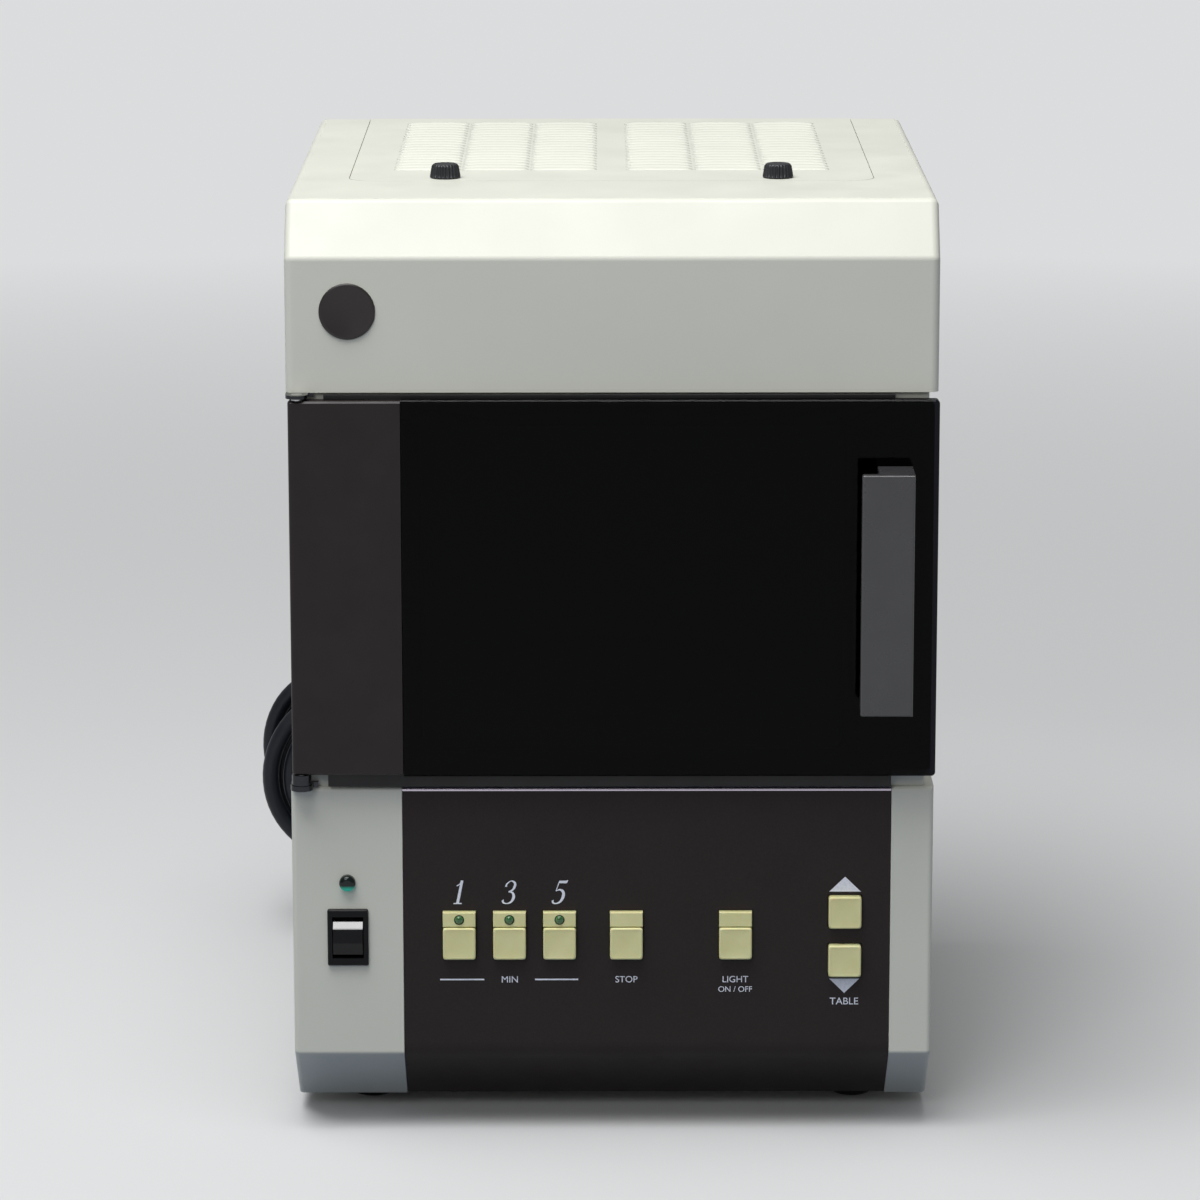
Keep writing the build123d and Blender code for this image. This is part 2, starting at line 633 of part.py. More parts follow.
# ---------------------------------------------------------------- curing chamber
with BuildPart() as chamber_liner:
    liner_front = CABINET_FRONT + SHEET
    liner_length = LINER_BACK - liner_front
    with BuildSketch(level(BASE_TOP)):
        with Locations((0, FACE_Y + (liner_front + LINER_BACK) / 2)):
            Rectangle(2 * LINER_HALF, liner_length)
    extrude(amount=OPENING_TOP - BASE_TOP)
    with BuildSketch(level(BASE_TOP + LINER_SHEET)):
        with Locations((0, FACE_Y + (liner_front + LINER_BACK) / 2 - LINER_SHEET)):
            Rectangle(2 * LINER_HALF - 2 * LINER_SHEET, liner_length)
    extrude(amount=OPENING_TOP - BASE_TOP, mode=Mode.SUBTRACT)
    with BuildSketch(level(BASE_TOP)):
        with Locations((0, TABLE_Y)):
            Circle(15)
    extrude(amount=LINER_SHEET, mode=Mode.SUBTRACT)
    # draught slots low in both side walls
    with BuildSketch(side_plane(-LINER_HALF - 1)):
        with Locations((TABLE_Y, BASE_TOP + 14)):
            with GridLocations(24, 0, 6, 1):
                SlotOverall(16, 4)
    extrude(amount=2 * LINER_HALF + 2, mode=Mode.SUBTRACT)
save(chamber_liner, "chamber_liner")

ROOF_MID_DEPTH = (CABINET_FRONT + SHEET + LINER_BACK) / 2
ROOF_TOP_LENGTH = 90.0
ROOF_RISE = ROOF_TOP - OPENING_TOP
ROOF_MID_Z = (ROOF_TOP + OPENING_TOP) / 2
LAMP_RADIUS = 25.0


def lamp_plane(name):
    """Plane on the reflector roof's outside, with its normal pointing out of the chamber."""
    side_run = LINER_HALF - ROOF_TOP_HALF
    back_run = (LINER_BACK - CABINET_FRONT - SHEET - ROOF_TOP_LENGTH) / 2
    side_x = (LINER_HALF + ROOF_TOP_HALF) / 2
    back_y = FACE_Y + ROOF_MID_DEPTH + ROOF_TOP_LENGTH / 2 + back_run / 2
    mid_y = FACE_Y + ROOF_MID_DEPTH
    seats = {
        "left": ((-side_x, mid_y, ROOF_MID_Z), (0, 1, 0), (-ROOF_RISE, 0, side_run)),
        "right": ((side_x, mid_y, ROOF_MID_Z), (0, 1, 0), (ROOF_RISE, 0, side_run)),
        "back": ((0, back_y, ROOF_MID_Z), (1, 0, 0), (0, ROOF_RISE, back_run)),
        "sub": ((0, mid_y, ROOF_TOP), (1, 0, 0), (0, 0, 1)),
    }
    origin, across, outward = seats[name]
    return Plane(origin=origin, x_dir=across, z_dir=outward)


LAMPS = ("left", "right", "back", "sub")

with BuildPart() as reflector_roof:
    for inset, way in ((0.0, Mode.ADD), (LINER_SHEET, Mode.SUBTRACT)):
        with BuildSketch(level(OPENING_TOP)):
            with Locations((0, FACE_Y + ROOF_MID_DEPTH)):
                Rectangle(2 * (LINER_HALF - inset), 2 * (ROOF_MID_DEPTH - CABINET_FRONT - SHEET - inset))
        with BuildSketch(level(ROOF_TOP - inset)):
            with Locations((0, FACE_Y + ROOF_MID_DEPTH)):
                Rectangle(2 * (ROOF_TOP_HALF - inset), ROOF_TOP_LENGTH - 2 * inset)
        loft(mode=way)
    for lamp in LAMPS:
        with BuildSketch(lamp_plane(lamp)):
            Circle(LAMP_RADIUS + 0.6)
        extrude(amount=-6, both=True, mode=Mode.SUBTRACT)
        with BuildSketch(lamp_plane(lamp)):
            Circle(LAMP_RADIUS + 2.2)
            Circle(LAMP_RADIUS + 0.6, mode=Mode.SUBTRACT)
        extrude(amount=7)
save(reflector_roof, "reflector_roof")

REFLECTOR_DEEP = 30.0
NECK_RADIUS = 8.0
NECK_LENGTH = 10.0
GLASS = 1.8

with BuildPart() as halogen_lamps:
    for lamp in LAMPS:
        seat = lamp_plane(lamp)
        section = Plane(origin=seat.origin, x_dir=seat.x_dir, z_dir=-seat.y_dir)
        with BuildSketch(section):
            with BuildLine():
                outside = Spline(
                    (LAMP_RADIUS, 1.5),
                    (LAMP_RADIUS * 0.78, REFLECTOR_DEEP * 0.5),
                    (NECK_RADIUS, REFLECTOR_DEEP),
                )
                Line((NECK_RADIUS, REFLECTOR_DEEP), (NECK_RADIUS, REFLECTOR_DEEP + NECK_LENGTH))
                Line((NECK_RADIUS, REFLECTOR_DEEP + NECK_LENGTH), (0, REFLECTOR_DEEP + NECK_LENGTH))
                Line((0, REFLECTOR_DEEP + NECK_LENGTH), (0, REFLECTOR_DEEP))
                Line((0, REFLECTOR_DEEP), (5.5, REFLECTOR_DEEP))
                Spline(
                    (5.5, REFLECTOR_DEEP),
                    (LAMP_RADIUS * 0.78 - GLASS, REFLECTOR_DEEP * 0.45),
                    (LAMP_RADIUS - GLASS, 0),
                )
                Line((LAMP_RADIUS - GLASS, 0), (LAMP_RADIUS, 0))
                Line((LAMP_RADIUS, 0), (LAMP_RADIUS, 1.5))
            make_face()
        revolve(axis=Axis(seat.origin, seat.z_dir))
    for lamp in LAMPS:
        seat = lamp_plane(lamp)
        with BuildSketch(seat.offset(REFLECTOR_DEEP)):
            Circle(4.2)
        extrude(amount=-15)
        with BuildSketch(seat.offset(REFLECTOR_DEEP - 15)):
            Circle(4.2)
        extrude(amount=-4, taper=35)
save(halogen_lamps, "halogen_lamps")

with BuildPart() as lamp_sockets:
    for lamp in LAMPS:
        with BuildSketch(lamp_plane(lamp).offset(REFLECTOR_DEEP + NECK_LENGTH)):
            RectangleRounded(20, 14, 2)
        extrude(amount=9)
save(lamp_sockets, "lamp_sockets")

# ---------------------------------------------------------------- lid and its thumb screws
GRILLE_INNER = 6.4
GRILLE_OUTER = 101.0
GRILLE_COLUMNS = 3
GRILLE_RIB = 2.0
GRILLE_FRONT = 117.0
LOUVRE_PITCH = 9.6
LOUVRES = 19
LOUVRE_SLOT = 3.4

with BuildPart() as top_lid:
    lid_length = DEPTH - LID_FRONT
    with BuildSketch(level(TOP - WALL)):
        with Locations((0, FACE_Y + LID_FRONT + lid_length / 2)):
            RectangleRounded(2 * LID_HALF, lid_length, LID_CORNER)
        with Locations((0, BACK_Y - LID_CORNER)):
            Rectangle(2 * LID_HALF, 2 * LID_CORNER)
        with Locations((-KNOB_X, FACE_Y + KNOB_DEPTH), (KNOB_X, FACE_Y + KNOB_DEPTH)):
            Circle(2.0 + RUNNING_FIT, mode=Mode.SUBTRACT)
    extrude(amount=WALL)
    slot_length = (GRILLE_OUTER - GRILLE_INNER) / GRILLE_COLUMNS - GRILLE_RIB
    column_pitch = (GRILLE_OUTER - GRILLE_INNER) / GRILLE_COLUMNS
    grille_middle = GRILLE_FRONT + LOUVRE_PITCH * (LOUVRES - 1) / 2
    with BuildSketch(level(TOP)):
        for side in (-1, 1):
            with Locations((side * (GRILLE_INNER + GRILLE_OUTER) / 2, FACE_Y + grille_middle)):
                with GridLocations(column_pitch, LOUVRE_PITCH, GRILLE_COLUMNS, LOUVRES):
                    Rectangle(slot_length, LOUVRE_SLOT)
    extrude(amount=-2 * WALL, mode=Mode.SUBTRACT)
save(top_lid, "top_lid")

for side, name in ((-1, "thumb_screw_left"), (1, "thumb_screw_right")):
    with BuildPart() as thumb_screw:
        with BuildSketch(level(TOP)):
            Circle(KNOB_RADIUS)
            with PolarLocations(KNOB_RADIUS + 0.25, 24):
                Circle(0.6, mode=Mode.SUBTRACT)
        extrude(amount=KNOB_HEIGHT - 1.4)
        with BuildSketch(level(TOP + KNOB_HEIGHT - 1.4)):
            Circle(KNOB_RADIUS - 0.35)
        extrude(amount=1.4, taper=28)
        with BuildSketch(level(TOP)):
            Circle(2.0)
        extrude(amount=-12)
    thumb_screw.part = thumb_screw.part.moved(Location((side * KNOB_X, FACE_Y + KNOB_DEPTH, 0)))
    save(thumb_screw, name)

with BuildPart() as lid_nuts:
    with BuildSketch(level(TOP - WALL - LEDGE)):
        with Locations((-KNOB_X, FACE_Y + KNOB_DEPTH), (KNOB_X, FACE_Y + KNOB_DEPTH)):
            RegularPolygon(3.5, 6, major_radius=False)
            Circle(2.0 + RUNNING_FIT, mode=Mode.SUBTRACT)
    extrude(amount=-3.2)
save(lid_nuts, "lid_nuts")

# ---------------------------------------------------------------- keys and switches
BOARD_DEPTH = 22.0
KEY_BACK = 14.0


def make_key(name, key_x, key_z):
    """Square cap with eased edges on a stem that reaches its switch."""
    with BuildPart() as key:
        with BuildSketch(face_plane(KEY_BACK - 6)):
            with Locations((key_x, key_z)):
                RectangleRounded(KEY, KEY, 0.7)
        extrude(amount=KEY_BACK - 6 + KEY_PROUD)
        fillet(key.edges().filter_by(lambda e: e.center().Y < FACE_Y - KEY_PROUD + 0.1), 0.8)
        with BuildSketch(face_plane(KEY_BACK - 6)):
            with Locations((key_x, key_z)):
                Rectangle(4, 4)
        extrude(amount=-6 + KEY_TRAVEL)
    save(key, name)


for minutes, key_x in START_KEY_X.items():
    make_key(f"key_start_{minutes}", key_x, KEY_Z)
make_key("key_stop", STOP_KEY_X, KEY_Z)
make_key("key_sub_light", SUB_LIGHT_KEY_X, KEY_Z)
make_key("key_table_up", TABLE_KEY_X, TABLE_KEY_UP_Z)
make_key("key_table_down", TABLE_KEY_X, TABLE_KEY_DOWN_Z)

with BuildPart() as key_led_blocks:
    with BuildSketch(face_plane(KEY_BACK)):
        for key_x in KEY_COLUMNS:
            with Locations((key_x, BLOCK_Z)):
                Rectangle(KEY, BLOCK_HEIGHT)
    extrude(amount=KEY_BACK + KEY_PROUD - 0.8)
    face_edges = key_led_blocks.edges().filter_by(lambda e: e.center().Y < FACE_Y - KEY_PROUD + 0.9)
    fillet(face_edges, 0.5)
    with BuildSketch(face_plane(-KEY_PROUD)):
        for key_x in START_KEY_X.values():
            with Locations((key_x, BLOCK_Z)):
                Circle(LED_RADIUS + LED_RIM)
    extrude(amount=-6, mode=Mode.SUBTRACT)
save(key_led_blocks, "key_led_blocks")

with BuildPart() as key_leds:
    with BuildSketch(face_plane(-KEY_PROUD + 6)):
        for key_x in START_KEY_X.values():
            with Locations((key_x, BLOCK_Z)):
                Circle(LED_RADIUS)
    extrude(amount=4.9)
    fillet(key_leds.edges().filter_by(lambda e: e.center().Y < FACE_Y - KEY_PROUD + 1.2), 0.7)
save(key_leds, "key_leds")

SWITCHES = [(x, KEY_Z) for x in KEY_COLUMNS]
SWITCHES += [(TABLE_KEY_X, TABLE_KEY_UP_Z), (TABLE_KEY_X, TABLE_KEY_DOWN_Z)]

with BuildPart() as control_board:
    with BuildSketch(face_plane(BOARD_DEPTH)):
        with Locations((20, 93)):
            Rectangle(205, 78)
    extrude(amount=-1.6)
    with BuildSketch(face_plane(BOARD_DEPTH)):
        with Locations((18, 92.6)):
            with GridLocations(186, 70, 2, 2):
                Circle(2.8)
    extrude(amount=BOARD_DEPTH - FRONT_WALL)
    with BuildSketch(face_plane(BOARD_DEPTH)):
        for switch_x, switch_z in SWITCHES:
            with Locations((switch_x, switch_z)):
                Rectangle(12, 12)
        for key_x in KEY_COLUMNS:
            with Locations((key_x, BLOCK_Z + 0.2)):
                Rectangle(9, 5.2)
    extrude(amount=BOARD_DEPTH - KEY_BACK - 0.4)
save(control_board, "control_board")

with BuildPart() as rocker_bezel:
    with BuildSketch(face_plane(0)):
        with Locations((ROCKER_X, ROCKER_Z)):
            RectangleRounded(BEZEL_WIDTH, BEZEL_HEIGHT, 0.8)
    extrude(amount=2.0)
    chamfer(rocker_bezel.edges().filter_by(lambda e: e.center().Y < FACE_Y - 1.9), 0.5)
    with BuildSketch(face_plane(0)):
        with Locations((ROCKER_X, ROCKER_Z)):
            Rectangle(BEZEL_WIDTH - 2.4, BEZEL_HEIGHT - 2.4)
    extrude(amount=-20)
    with BuildSketch(face_plane(-3)):
        with Locations((ROCKER_X, ROCKER_Z)):
            Rectangle(ROCKER_WIDTH + 0.8, ROCKER_HEIGHT + 0.8)
    extrude(amount=-16, mode=Mode.SUBTRACT)
save(rocker_bezel, "rocker_bezel")

ROCKER_TILT = radians(8)
ROCKER_PIVOT_DEPTH = 4.0

with BuildPart() as power_rocker:
    # drawn level and then tilted about its pivot, with the lower half standing out
    tilted = Plane(
        origin=(ROCKER_X - ROCKER_WIDTH / 2, FACE_Y + ROCKER_PIVOT_DEPTH, ROCKER_Z),
        x_dir=(0, cos(ROCKER_TILT), -sin(ROCKER_TILT)),
        z_dir=(1, 0, 0),
    )
    with BuildSketch(tilted):
        with BuildLine():
            Polyline(
                (-4.2, 8.7),
                (-7.4, 3.2),
                (-7.4, -3.2),
                (-4.2, -8.7),
                (1, -7.5),
                (5, -3),
                (5, 3),
                (1, 7.5),
                close=True,
            )
        make_face()
    extrude(amount=ROCKER_WIDTH)
save(power_rocker, "power_rocker")

with BuildPart() as pilot_lamp:
    with BuildSketch(face_plane(0)):
        with Locations((ROCKER_X, PILOT_Z)):
            Circle(PILOT_RADIUS)
    extrude(amount=3.6)
    fillet(pilot_lamp.edges().filter_by(GeomType.CIRCLE).sort_by(Axis.Y)[0], 2.2)
    with BuildSketch(face_plane(0)):
        with Locations((ROCKER_X, PILOT_Z)):
            Circle(PILOT_RADIUS - 0.4)
    extrude(amount=-14)
save(pilot_lamp, "pilot_lamp")


# ---------------------------------------------------------------- gears
def involute(angle):
    return tan(angle) - angle


def gear_outline(teeth, phase_deg):
    """Closed outline of an involute spur gear; a tooth stands at the phase angle."""
    pitch_radius = MODULE * teeth / 2
    base_radius = pitch_radius * cos(radians(PRESSURE_ANGLE))
    root_radius = pitch_radius - 1.25 * MODULE
    tip_radius = pitch_radius + MODULE
    half_tooth = (pi * MODULE / 2 - BACKLASH) / (2 * pitch_radius)
    flank_radii = [root_radius, max(root_radius, base_radius), pitch_radius, tip_radius]
    flank = []
    for radius in flank_radii:
        slant = involute(acos(min(1.0, base_radius / radius)))
        flank.append((radius, half_tooth + involute(radians(PRESSURE_ANGLE)) - slant))
    if flank[0][0] == flank[1][0]:
        flank = flank[1:]
    outline = []
    for tooth in range(teeth):
        middle = radians(phase_deg) + 2 * pi * tooth / teeth
        for radius, half_angle in flank:
            outline.append((radius * cos(middle - half_angle), radius * sin(middle - half_angle)))
        for radius, half_angle in reversed(flank):
            outline.append((radius * cos(middle + half_angle), radius * sin(middle + half_angle)))
    return outline


SPIN_DISTANCE = MODULE * (SPINDLE_TEETH + SPIN_TEETH) / 2
SPIN_Y = TABLE_Y + SPIN_DISTANCE
LIFT_X = RACK_PITCH_X + MODULE * LIFT_TEETH / 2
GEAR_WIDTH = 6.0

with BuildPart() as spindle_gear:
    with BuildSketch(level(GEAR_Z)):
        with BuildLine():
            Polyline(*gear_outline(SPINDLE_TEETH, 90), close=True)
        make_face()
        Circle(SPINDLE_RADIUS, mode=Mode.SUBTRACT)
        with PolarLocations(13.5, 5):
            Circle(4, mode=Mode.SUBTRACT)
    extrude(amount=GEAR_WIDTH)
spindle_gear.part = spindle_gear.part.moved(Location((0, TABLE_Y, 0)))
save(spindle_gear, "spindle_gear")

with BuildPart() as spin_pinion:
    with BuildSketch(level(GEAR_Z)):
        with BuildLine():
            Polyline(*gear_outline(SPIN_TEETH, 270 + 180 / SPIN_TEETH), close=True)
        make_face()
    extrude(amount=GEAR_WIDTH)
    with BuildSketch(level(GEAR_Z + GEAR_WIDTH)):
        Circle(2.5)
    extrude(amount=CARRIAGE_Z + 13.6 - GEAR_Z - GEAR_WIDTH)
spin_pinion.part = spin_pinion.part.moved(Location((0, SPIN_Y, 0)))
save(spin_pinion, "spin_pinion")

# ---------------------------------------------------------------- turntable and its lift
with BuildPart() as turntable:
    with BuildSketch(Plane(origin=(0, TABLE_Y, 0), x_dir=(1, 0, 0), z_dir=(0, -1, 0))):
        with BuildLine():
            Polyline(
                (0, TABLE_Z),
                (TABLE_RADIUS - 2, TABLE_Z),
                (TABLE_RADIUS, TABLE_Z + 1.5),
                (TABLE_RADIUS, TABLE_Z + 5),
                (TABLE_RADIUS - 1.6, TABLE_Z + 5),
                (TABLE_RADIUS - 2.4, TABLE_Z + 2.6),
                (44, TABLE_Z + 2.6),
                (43, TABLE_Z + 2.0),
                (42, TABLE_Z + 2.6),
                (24, TABLE_Z + 2.6),
                (23, TABLE_Z + 2.0),
                (22, TABLE_Z + 2.6),
                (0, TABLE_Z + 2.6),
                close=True,
            )
        make_face()
    revolve(axis=Axis((0, TABLE_Y, 0), (0, 0, 1)))
save(turntable, "turntable")

with BuildPart() as turntable_spindle:
    with BuildSketch(Plane(origin=(0, TABLE_Y, 0), x_dir=(1, 0, 0), z_dir=(0, -1, 0))):
        with BuildLine():
            Polyline(
                (0, 44),
                (SPINDLE_RADIUS - 1, 44),
                (SPINDLE_RADIUS, 45),
                (SPINDLE_RADIUS, TABLE_Z - 6),
                (12, TABLE_Z - 4),
                (12, TABLE_Z),
                (0, TABLE_Z),
                close=True,
            )
        make_face()
    revolve(axis=Axis((0, TABLE_Y, 0), (0, 0, 1)))
save(turntable_spindle, "turntable_spindle")

ROD_X = 36.0
ROD_RADIUS = 4.0
CARRIAGE_THICK = 14.0
FRAME_FLOOR = FOOT_HEIGHT + 1.5
FRAME_CEILING = 150.0
FRAME_SHEET = 3.0
WEB_DEPTH = 159.0

with BuildPart() as lift_carriage:
    with BuildSketch(level(CARRIAGE_Z)):
        with Locations((0, TABLE_Y)):
            RectangleRounded(96, 26, 3)
        with Locations((0, (TABLE_Y + SPIN_Y + 19) / 2)):
            Rectangle(42, SPIN_Y + 19 - TABLE_Y)
        with Locations((51, TABLE_Y)):
            Rectangle(6, 12)
        with Locations((0, TABLE_Y)):
            Circle(SPINDLE_RADIUS + RUNNING_FIT, mode=Mode.SUBTRACT)
        with Locations((-ROD_X, TABLE_Y), (ROD_X, TABLE_Y)):
            Circle(ROD_RADIUS + RUNNING_FIT, mode=Mode.SUBTRACT)
        with Locations((0, SPIN_Y)):
            Circle(6, mode=Mode.SUBTRACT)
    extrude(amount=CARRIAGE_THICK)
save(lift_carriage, "lift_carriage")

RACK_BOTTOM = 18.0
RACK_TEETH = 20
tooth_pitch = pi * MODULE
rack_flank = tan(radians(PRESSURE_ANGLE))
rack_half = (tooth_pitch / 2 - BACKLASH) / 2

with BuildPart() as lift_rack:
    with BuildSketch(Plane(origin=(0, TABLE_Y + 6, 0), x_dir=(1, 0, 0), z_dir=(0, -1, 0))):
        root_x = RACK_PITCH_X - 1.25 * MODULE
        rack_teeth_z = [LIFT_PINION_Z - tooth_pitch * (RACK_TEETH - 5 - i) for i in range(RACK_TEETH)]
        outline = [(54, rack_teeth_z[0] - 2.5), (root_x, rack_teeth_z[0] - 2.5)]
        for tooth_z in rack_teeth_z:
            outline.append((root_x, tooth_z - rack_half - 1.25 * MODULE * rack_flank))
            outline.append((RACK_PITCH_X + MODULE, tooth_z - rack_half + MODULE * rack_flank))
            outline.append((RACK_PITCH_X + MODULE, tooth_z + rack_half - MODULE * rack_flank))
            outline.append((root_x, tooth_z + rack_half + 1.25 * MODULE * rack_flank))
        outline += [(root_x, rack_teeth_z[-1] + 2.5), (54, rack_teeth_z[-1] + 2.5)]
        with BuildLine():
            Polyline(*outline, close=True)
        make_face()
    extrude(amount=12)
save(lift_rack, "lift_rack")

with BuildPart() as spin_motor:
    with BuildSketch(level(CARRIAGE_Z + CARRIAGE_THICK)):
        with Locations((0, SPIN_Y)):
            Circle(17.5)
    extrude(amount=25)
    fillet(spin_motor.edges().filter_by(GeomType.CIRCLE), 1.2)
save(spin_motor, "spin_motor")

with BuildPart() as lift_frame:
    web_y = FACE_Y + WEB_DEPTH
    front_y = TABLE_Y - 20
    with BuildSketch(side_plane(-50)):
        with BuildLine():
            Polyline(
                (front_y, FRAME_FLOOR),
                (web_y + FRAME_SHEET, FRAME_FLOOR),
                (web_y + FRAME_SHEET, FRAME_CEILING + FRAME_SHEET),
                (front_y, FRAME_CEILING + FRAME_SHEET),
                (front_y, FRAME_CEILING),
                (web_y, FRAME_CEILING),
                (web_y, FRAME_FLOOR + FRAME_SHEET),
                (front_y, FRAME_FLOOR + FRAME_SHEET),
                close=True,
            )
        make_face()
    extrude(amount=100)
    # ear that carries the lift motor
    ear_y = TABLE_Y + 9
    with BuildSketch(level(FRAME_FLOOR)):
        with Locations((71, (ear_y + web_y) / 2)):
            Rectangle(44, web_y - ear_y)
    extrude(amount=FRAME_SHEET)
    with BuildSketch(Plane(origin=(0, ear_y, 0), x_dir=(1, 0, 0), z_dir=(0, -1, 0))):
        with Locations((LIFT_X + 1, (FRAME_FLOOR + 94) / 2)):
            Rectangle(40, 94 - FRAME_FLOOR)
        with Locations((LIFT_X, LIFT_PINION_Z)):
            Circle(6, mode=Mode.SUBTRACT)
    extrude(amount=-FRAME_SHEET)
    with BuildSketch(level(FRAME_CEILING)):
        with Locations((0, TABLE_Y)):
            Circle(9)
    extrude(amount=2 * FRAME_SHEET, mode=Mode.SUBTRACT)
save(lift_frame, "lift_frame")

with BuildPart() as guide_rods:
    with BuildSketch(level(FRAME_FLOOR + FRAME_SHEET)):
        with Locations((-ROD_X, TABLE_Y), (ROD_X, TABLE_Y)):
            Circle(ROD_RADIUS)
    extrude(amount=FRAME_CEILING - FRAME_FLOOR - FRAME_SHEET)
save(guide_rods, "guide_rods")

with BuildPart() as lift_pinion:
    pinion_front = Plane(
        origin=(LIFT_X, TABLE_Y + 4, LIFT_PINION_Z), x_dir=(1, 0, 0), z_dir=(0, -1, 0)
    )
    with BuildSketch(pinion_front):
        with BuildLine():
            Polyline(*gear_outline(LIFT_TEETH, 180 + 180 / LIFT_TEETH), close=True)
        make_face()
    extrude(amount=8)
    with BuildSketch(pinion_front):
        Circle(3)
    extrude(amount=-(9 + FRAME_SHEET - 4 - 0.3))
save(lift_pinion, "lift_pinion")

with BuildPart() as lift_motor:
    gearbox_face = Plane(
        origin=(LIFT_X, TABLE_Y + 9 + FRAME_SHEET, LIFT_PINION_Z), x_dir=(1, 0, 0), z_dir=(0, 1, 0)
    )
    with BuildSketch(gearbox_face):
        RectangleRounded(38, 38, 4)
    extrude(amount=18)
    with BuildSketch(gearbox_face.offset(18)):
        Circle(17)
    extrude(amount=20)
    fillet(lift_motor.edges().filter_by(GeomType.CIRCLE).sort_by(Axis.Y)[-1], 1.5)
save(lift_motor, "lift_motor")

# ---------------------------------------------------------------- transformer, fan and fuse
with BuildPart() as lamp_transformer:
    core_y = FACE_Y + 200
    with BuildSketch(level(FOOT_HEIGHT + 1.5)):
        with Locations((-92, core_y)):
            Rectangle(66, 46)
    extrude(amount=66)
    chamfer(lamp_transformer.edges().filter_by(Axis.Y), 2)
    with BuildSketch(level(FOOT_HEIGHT + 1.5 + 12)):
        with Locations((-92, core_y)):
            RectangleRounded(40, 78, 8)
    extrude(amount=42)
save(lamp_transformer, "lamp_transformer")

FAN_BACK = SHELL_DEPTH
FAN_BORE = 43.5

with BuildPart() as fan_frame:
    with BuildSketch(face_plane(FAN_BACK)):
        with Locations((0, FAN_Z)):
            RectangleRounded(FAN_SIZE, FAN_SIZE, 4)
            Circle(FAN_BORE, mode=Mode.SUBTRACT)
    extrude(amount=FAN_DEEP)
    with BuildSketch(face_plane(FAN_BACK - FAN_DEEP + 3)):
        with Locations((0, FAN_Z)):
            Circle(18)
            with PolarLocations(0, 4, start_angle=45):
                with Locations((31, 0)):
                    Rectangle(28, 5)
    extrude(amount=3)
save(fan_frame, "fan_frame")

FAN_BLADES = 7
HUB_RADIUS = 17.0

with BuildPart() as fan_rotor:
    with BuildSketch(face_plane(FAN_BACK - 2)):
        with Locations((0, FAN_Z)):
            Circle(HUB_RADIUS)
    extrude(amount=FAN_DEEP - 6)
    for blade in range(FAN_BLADES):
        turn = 2 * pi * blade / FAN_BLADES
        outward = Vector(cos(turn), 0, sin(turn))
        along = Vector(-sin(turn), 0, cos(turn))
        middle = Vector(0, FACE_Y + FAN_BACK - FAN_DEEP / 2 + 1, FAN_Z)
        for radius, pitch in ((HUB_RADIUS - 1.5, 42), (41.0, 24)):
            chord = along * cos(radians(pitch)) + Vector(0, 1, 0) * sin(radians(pitch))
            with BuildSketch(Plane(origin=middle + outward * radius, x_dir=chord, z_dir=outward)):
                Rectangle(18 if radius < 20 else 25, 1.6)
        loft()
save(fan_rotor, "fan_rotor")

with BuildPart() as fuse_holder:
    fuse_plane = Plane(origin=(FUSE_X, BACK_Y, FUSE_Z), x_dir=(-1, 0, 0), z_dir=(0, 1, 0))
    with BuildSketch(fuse_plane):
        Circle(8)
    extrude(amount=2.5)
    with BuildSketch(fuse_plane.offset(2.5)):
        Circle(6.5)
        Rectangle(9, 1.4, mode=Mode.SUBTRACT)
    extrude(amount=6)
    with BuildSketch(fuse_plane):
        Circle(6.5)
    extrude(amount=-34)
save(fuse_holder, "fuse_holder")

# ---------------------------------------------------------------- mains cord
CORD_Y = FACE_Y + COIL_DEPTH
HALF_PITCH = COIL_PITCH / 2

with BuildPart() as cord_gland:
    gland_plane = Plane(origin=(GLAND_X, BACK_Y, GLAND_Z), x_dir=(1, 0, 0), z_dir=(0, 1, 0))
    with BuildSketch(gland_plane):
        Circle(10.5)
    extrude(amount=GLAND_FLANGE)
    with BuildSketch(gland_plane):
        Circle(6.1)
    extrude(amount=-9)
    with BuildLine():
        TangentArc(
            (GLAND_X, BACK_Y + GLAND_FLANGE, GLAND_Z), (GLAND_X, CORD_Y, GLAND_Z - ELBOW), tangent=(0, 1, 0)
        )
    with BuildSketch(gland_plane.offset(GLAND_FLANGE)):
        Circle(6.8)
    sweep()
    with BuildSketch(level(GLAND_Z - ELBOW)):
        with Locations((GLAND_X, CORD_Y)):
            Circle(6.8)
    with BuildSketch(level(GLAND_Z - ELBOW - RELIEF_LENGTH)):
        with Locations((GLAND_X, CORD_Y)):
            Circle(5.2)
    loft()
save(cord_gland, "cord_gland")

# The coil: pairs of layers that spiral in and out again, loop by loop, round the hook.
coil_centres = (
    (COIL_FRONT_X, COIL_FRONT_Z),
    (COIL_FRONT_X, COIL_FRONT_Z),
    (COIL_BACK_X, COIL_BACK_Z),
    (COIL_BACK_X, COIL_BACK_Z),
)
layer_steps = (0, COIL_PITCH, COIL_PITCH + COIL_GAP, 2 * COIL_PITCH + COIL_GAP)
outer_radius = COIL_LEFT + HALF_PITCH
layer_radii = (
    [outer_radius - HALF_PITCH * i for i in range(4)],
    [outer_radius - HALF_PITCH * (3 - i) for i in range(3)],
    [COIL_BACK_RADIUS - HALF_PITCH * i for i in range(3)],
    [COIL_BACK_RADIUS - HALF_PITCH * (2 - i) for i in range(3)],
)
coil_points = []
for (centre_x, centre_z), layer_step, radii in zip(coil_centres, layer_steps, layer_radii):
    for radius in radii:
        side = 1 if len(coil_points) % 2 == 0 else -1
        coil_points.append(Vector(centre_x + side * radius, CORD_Y + layer_step, centre_z))

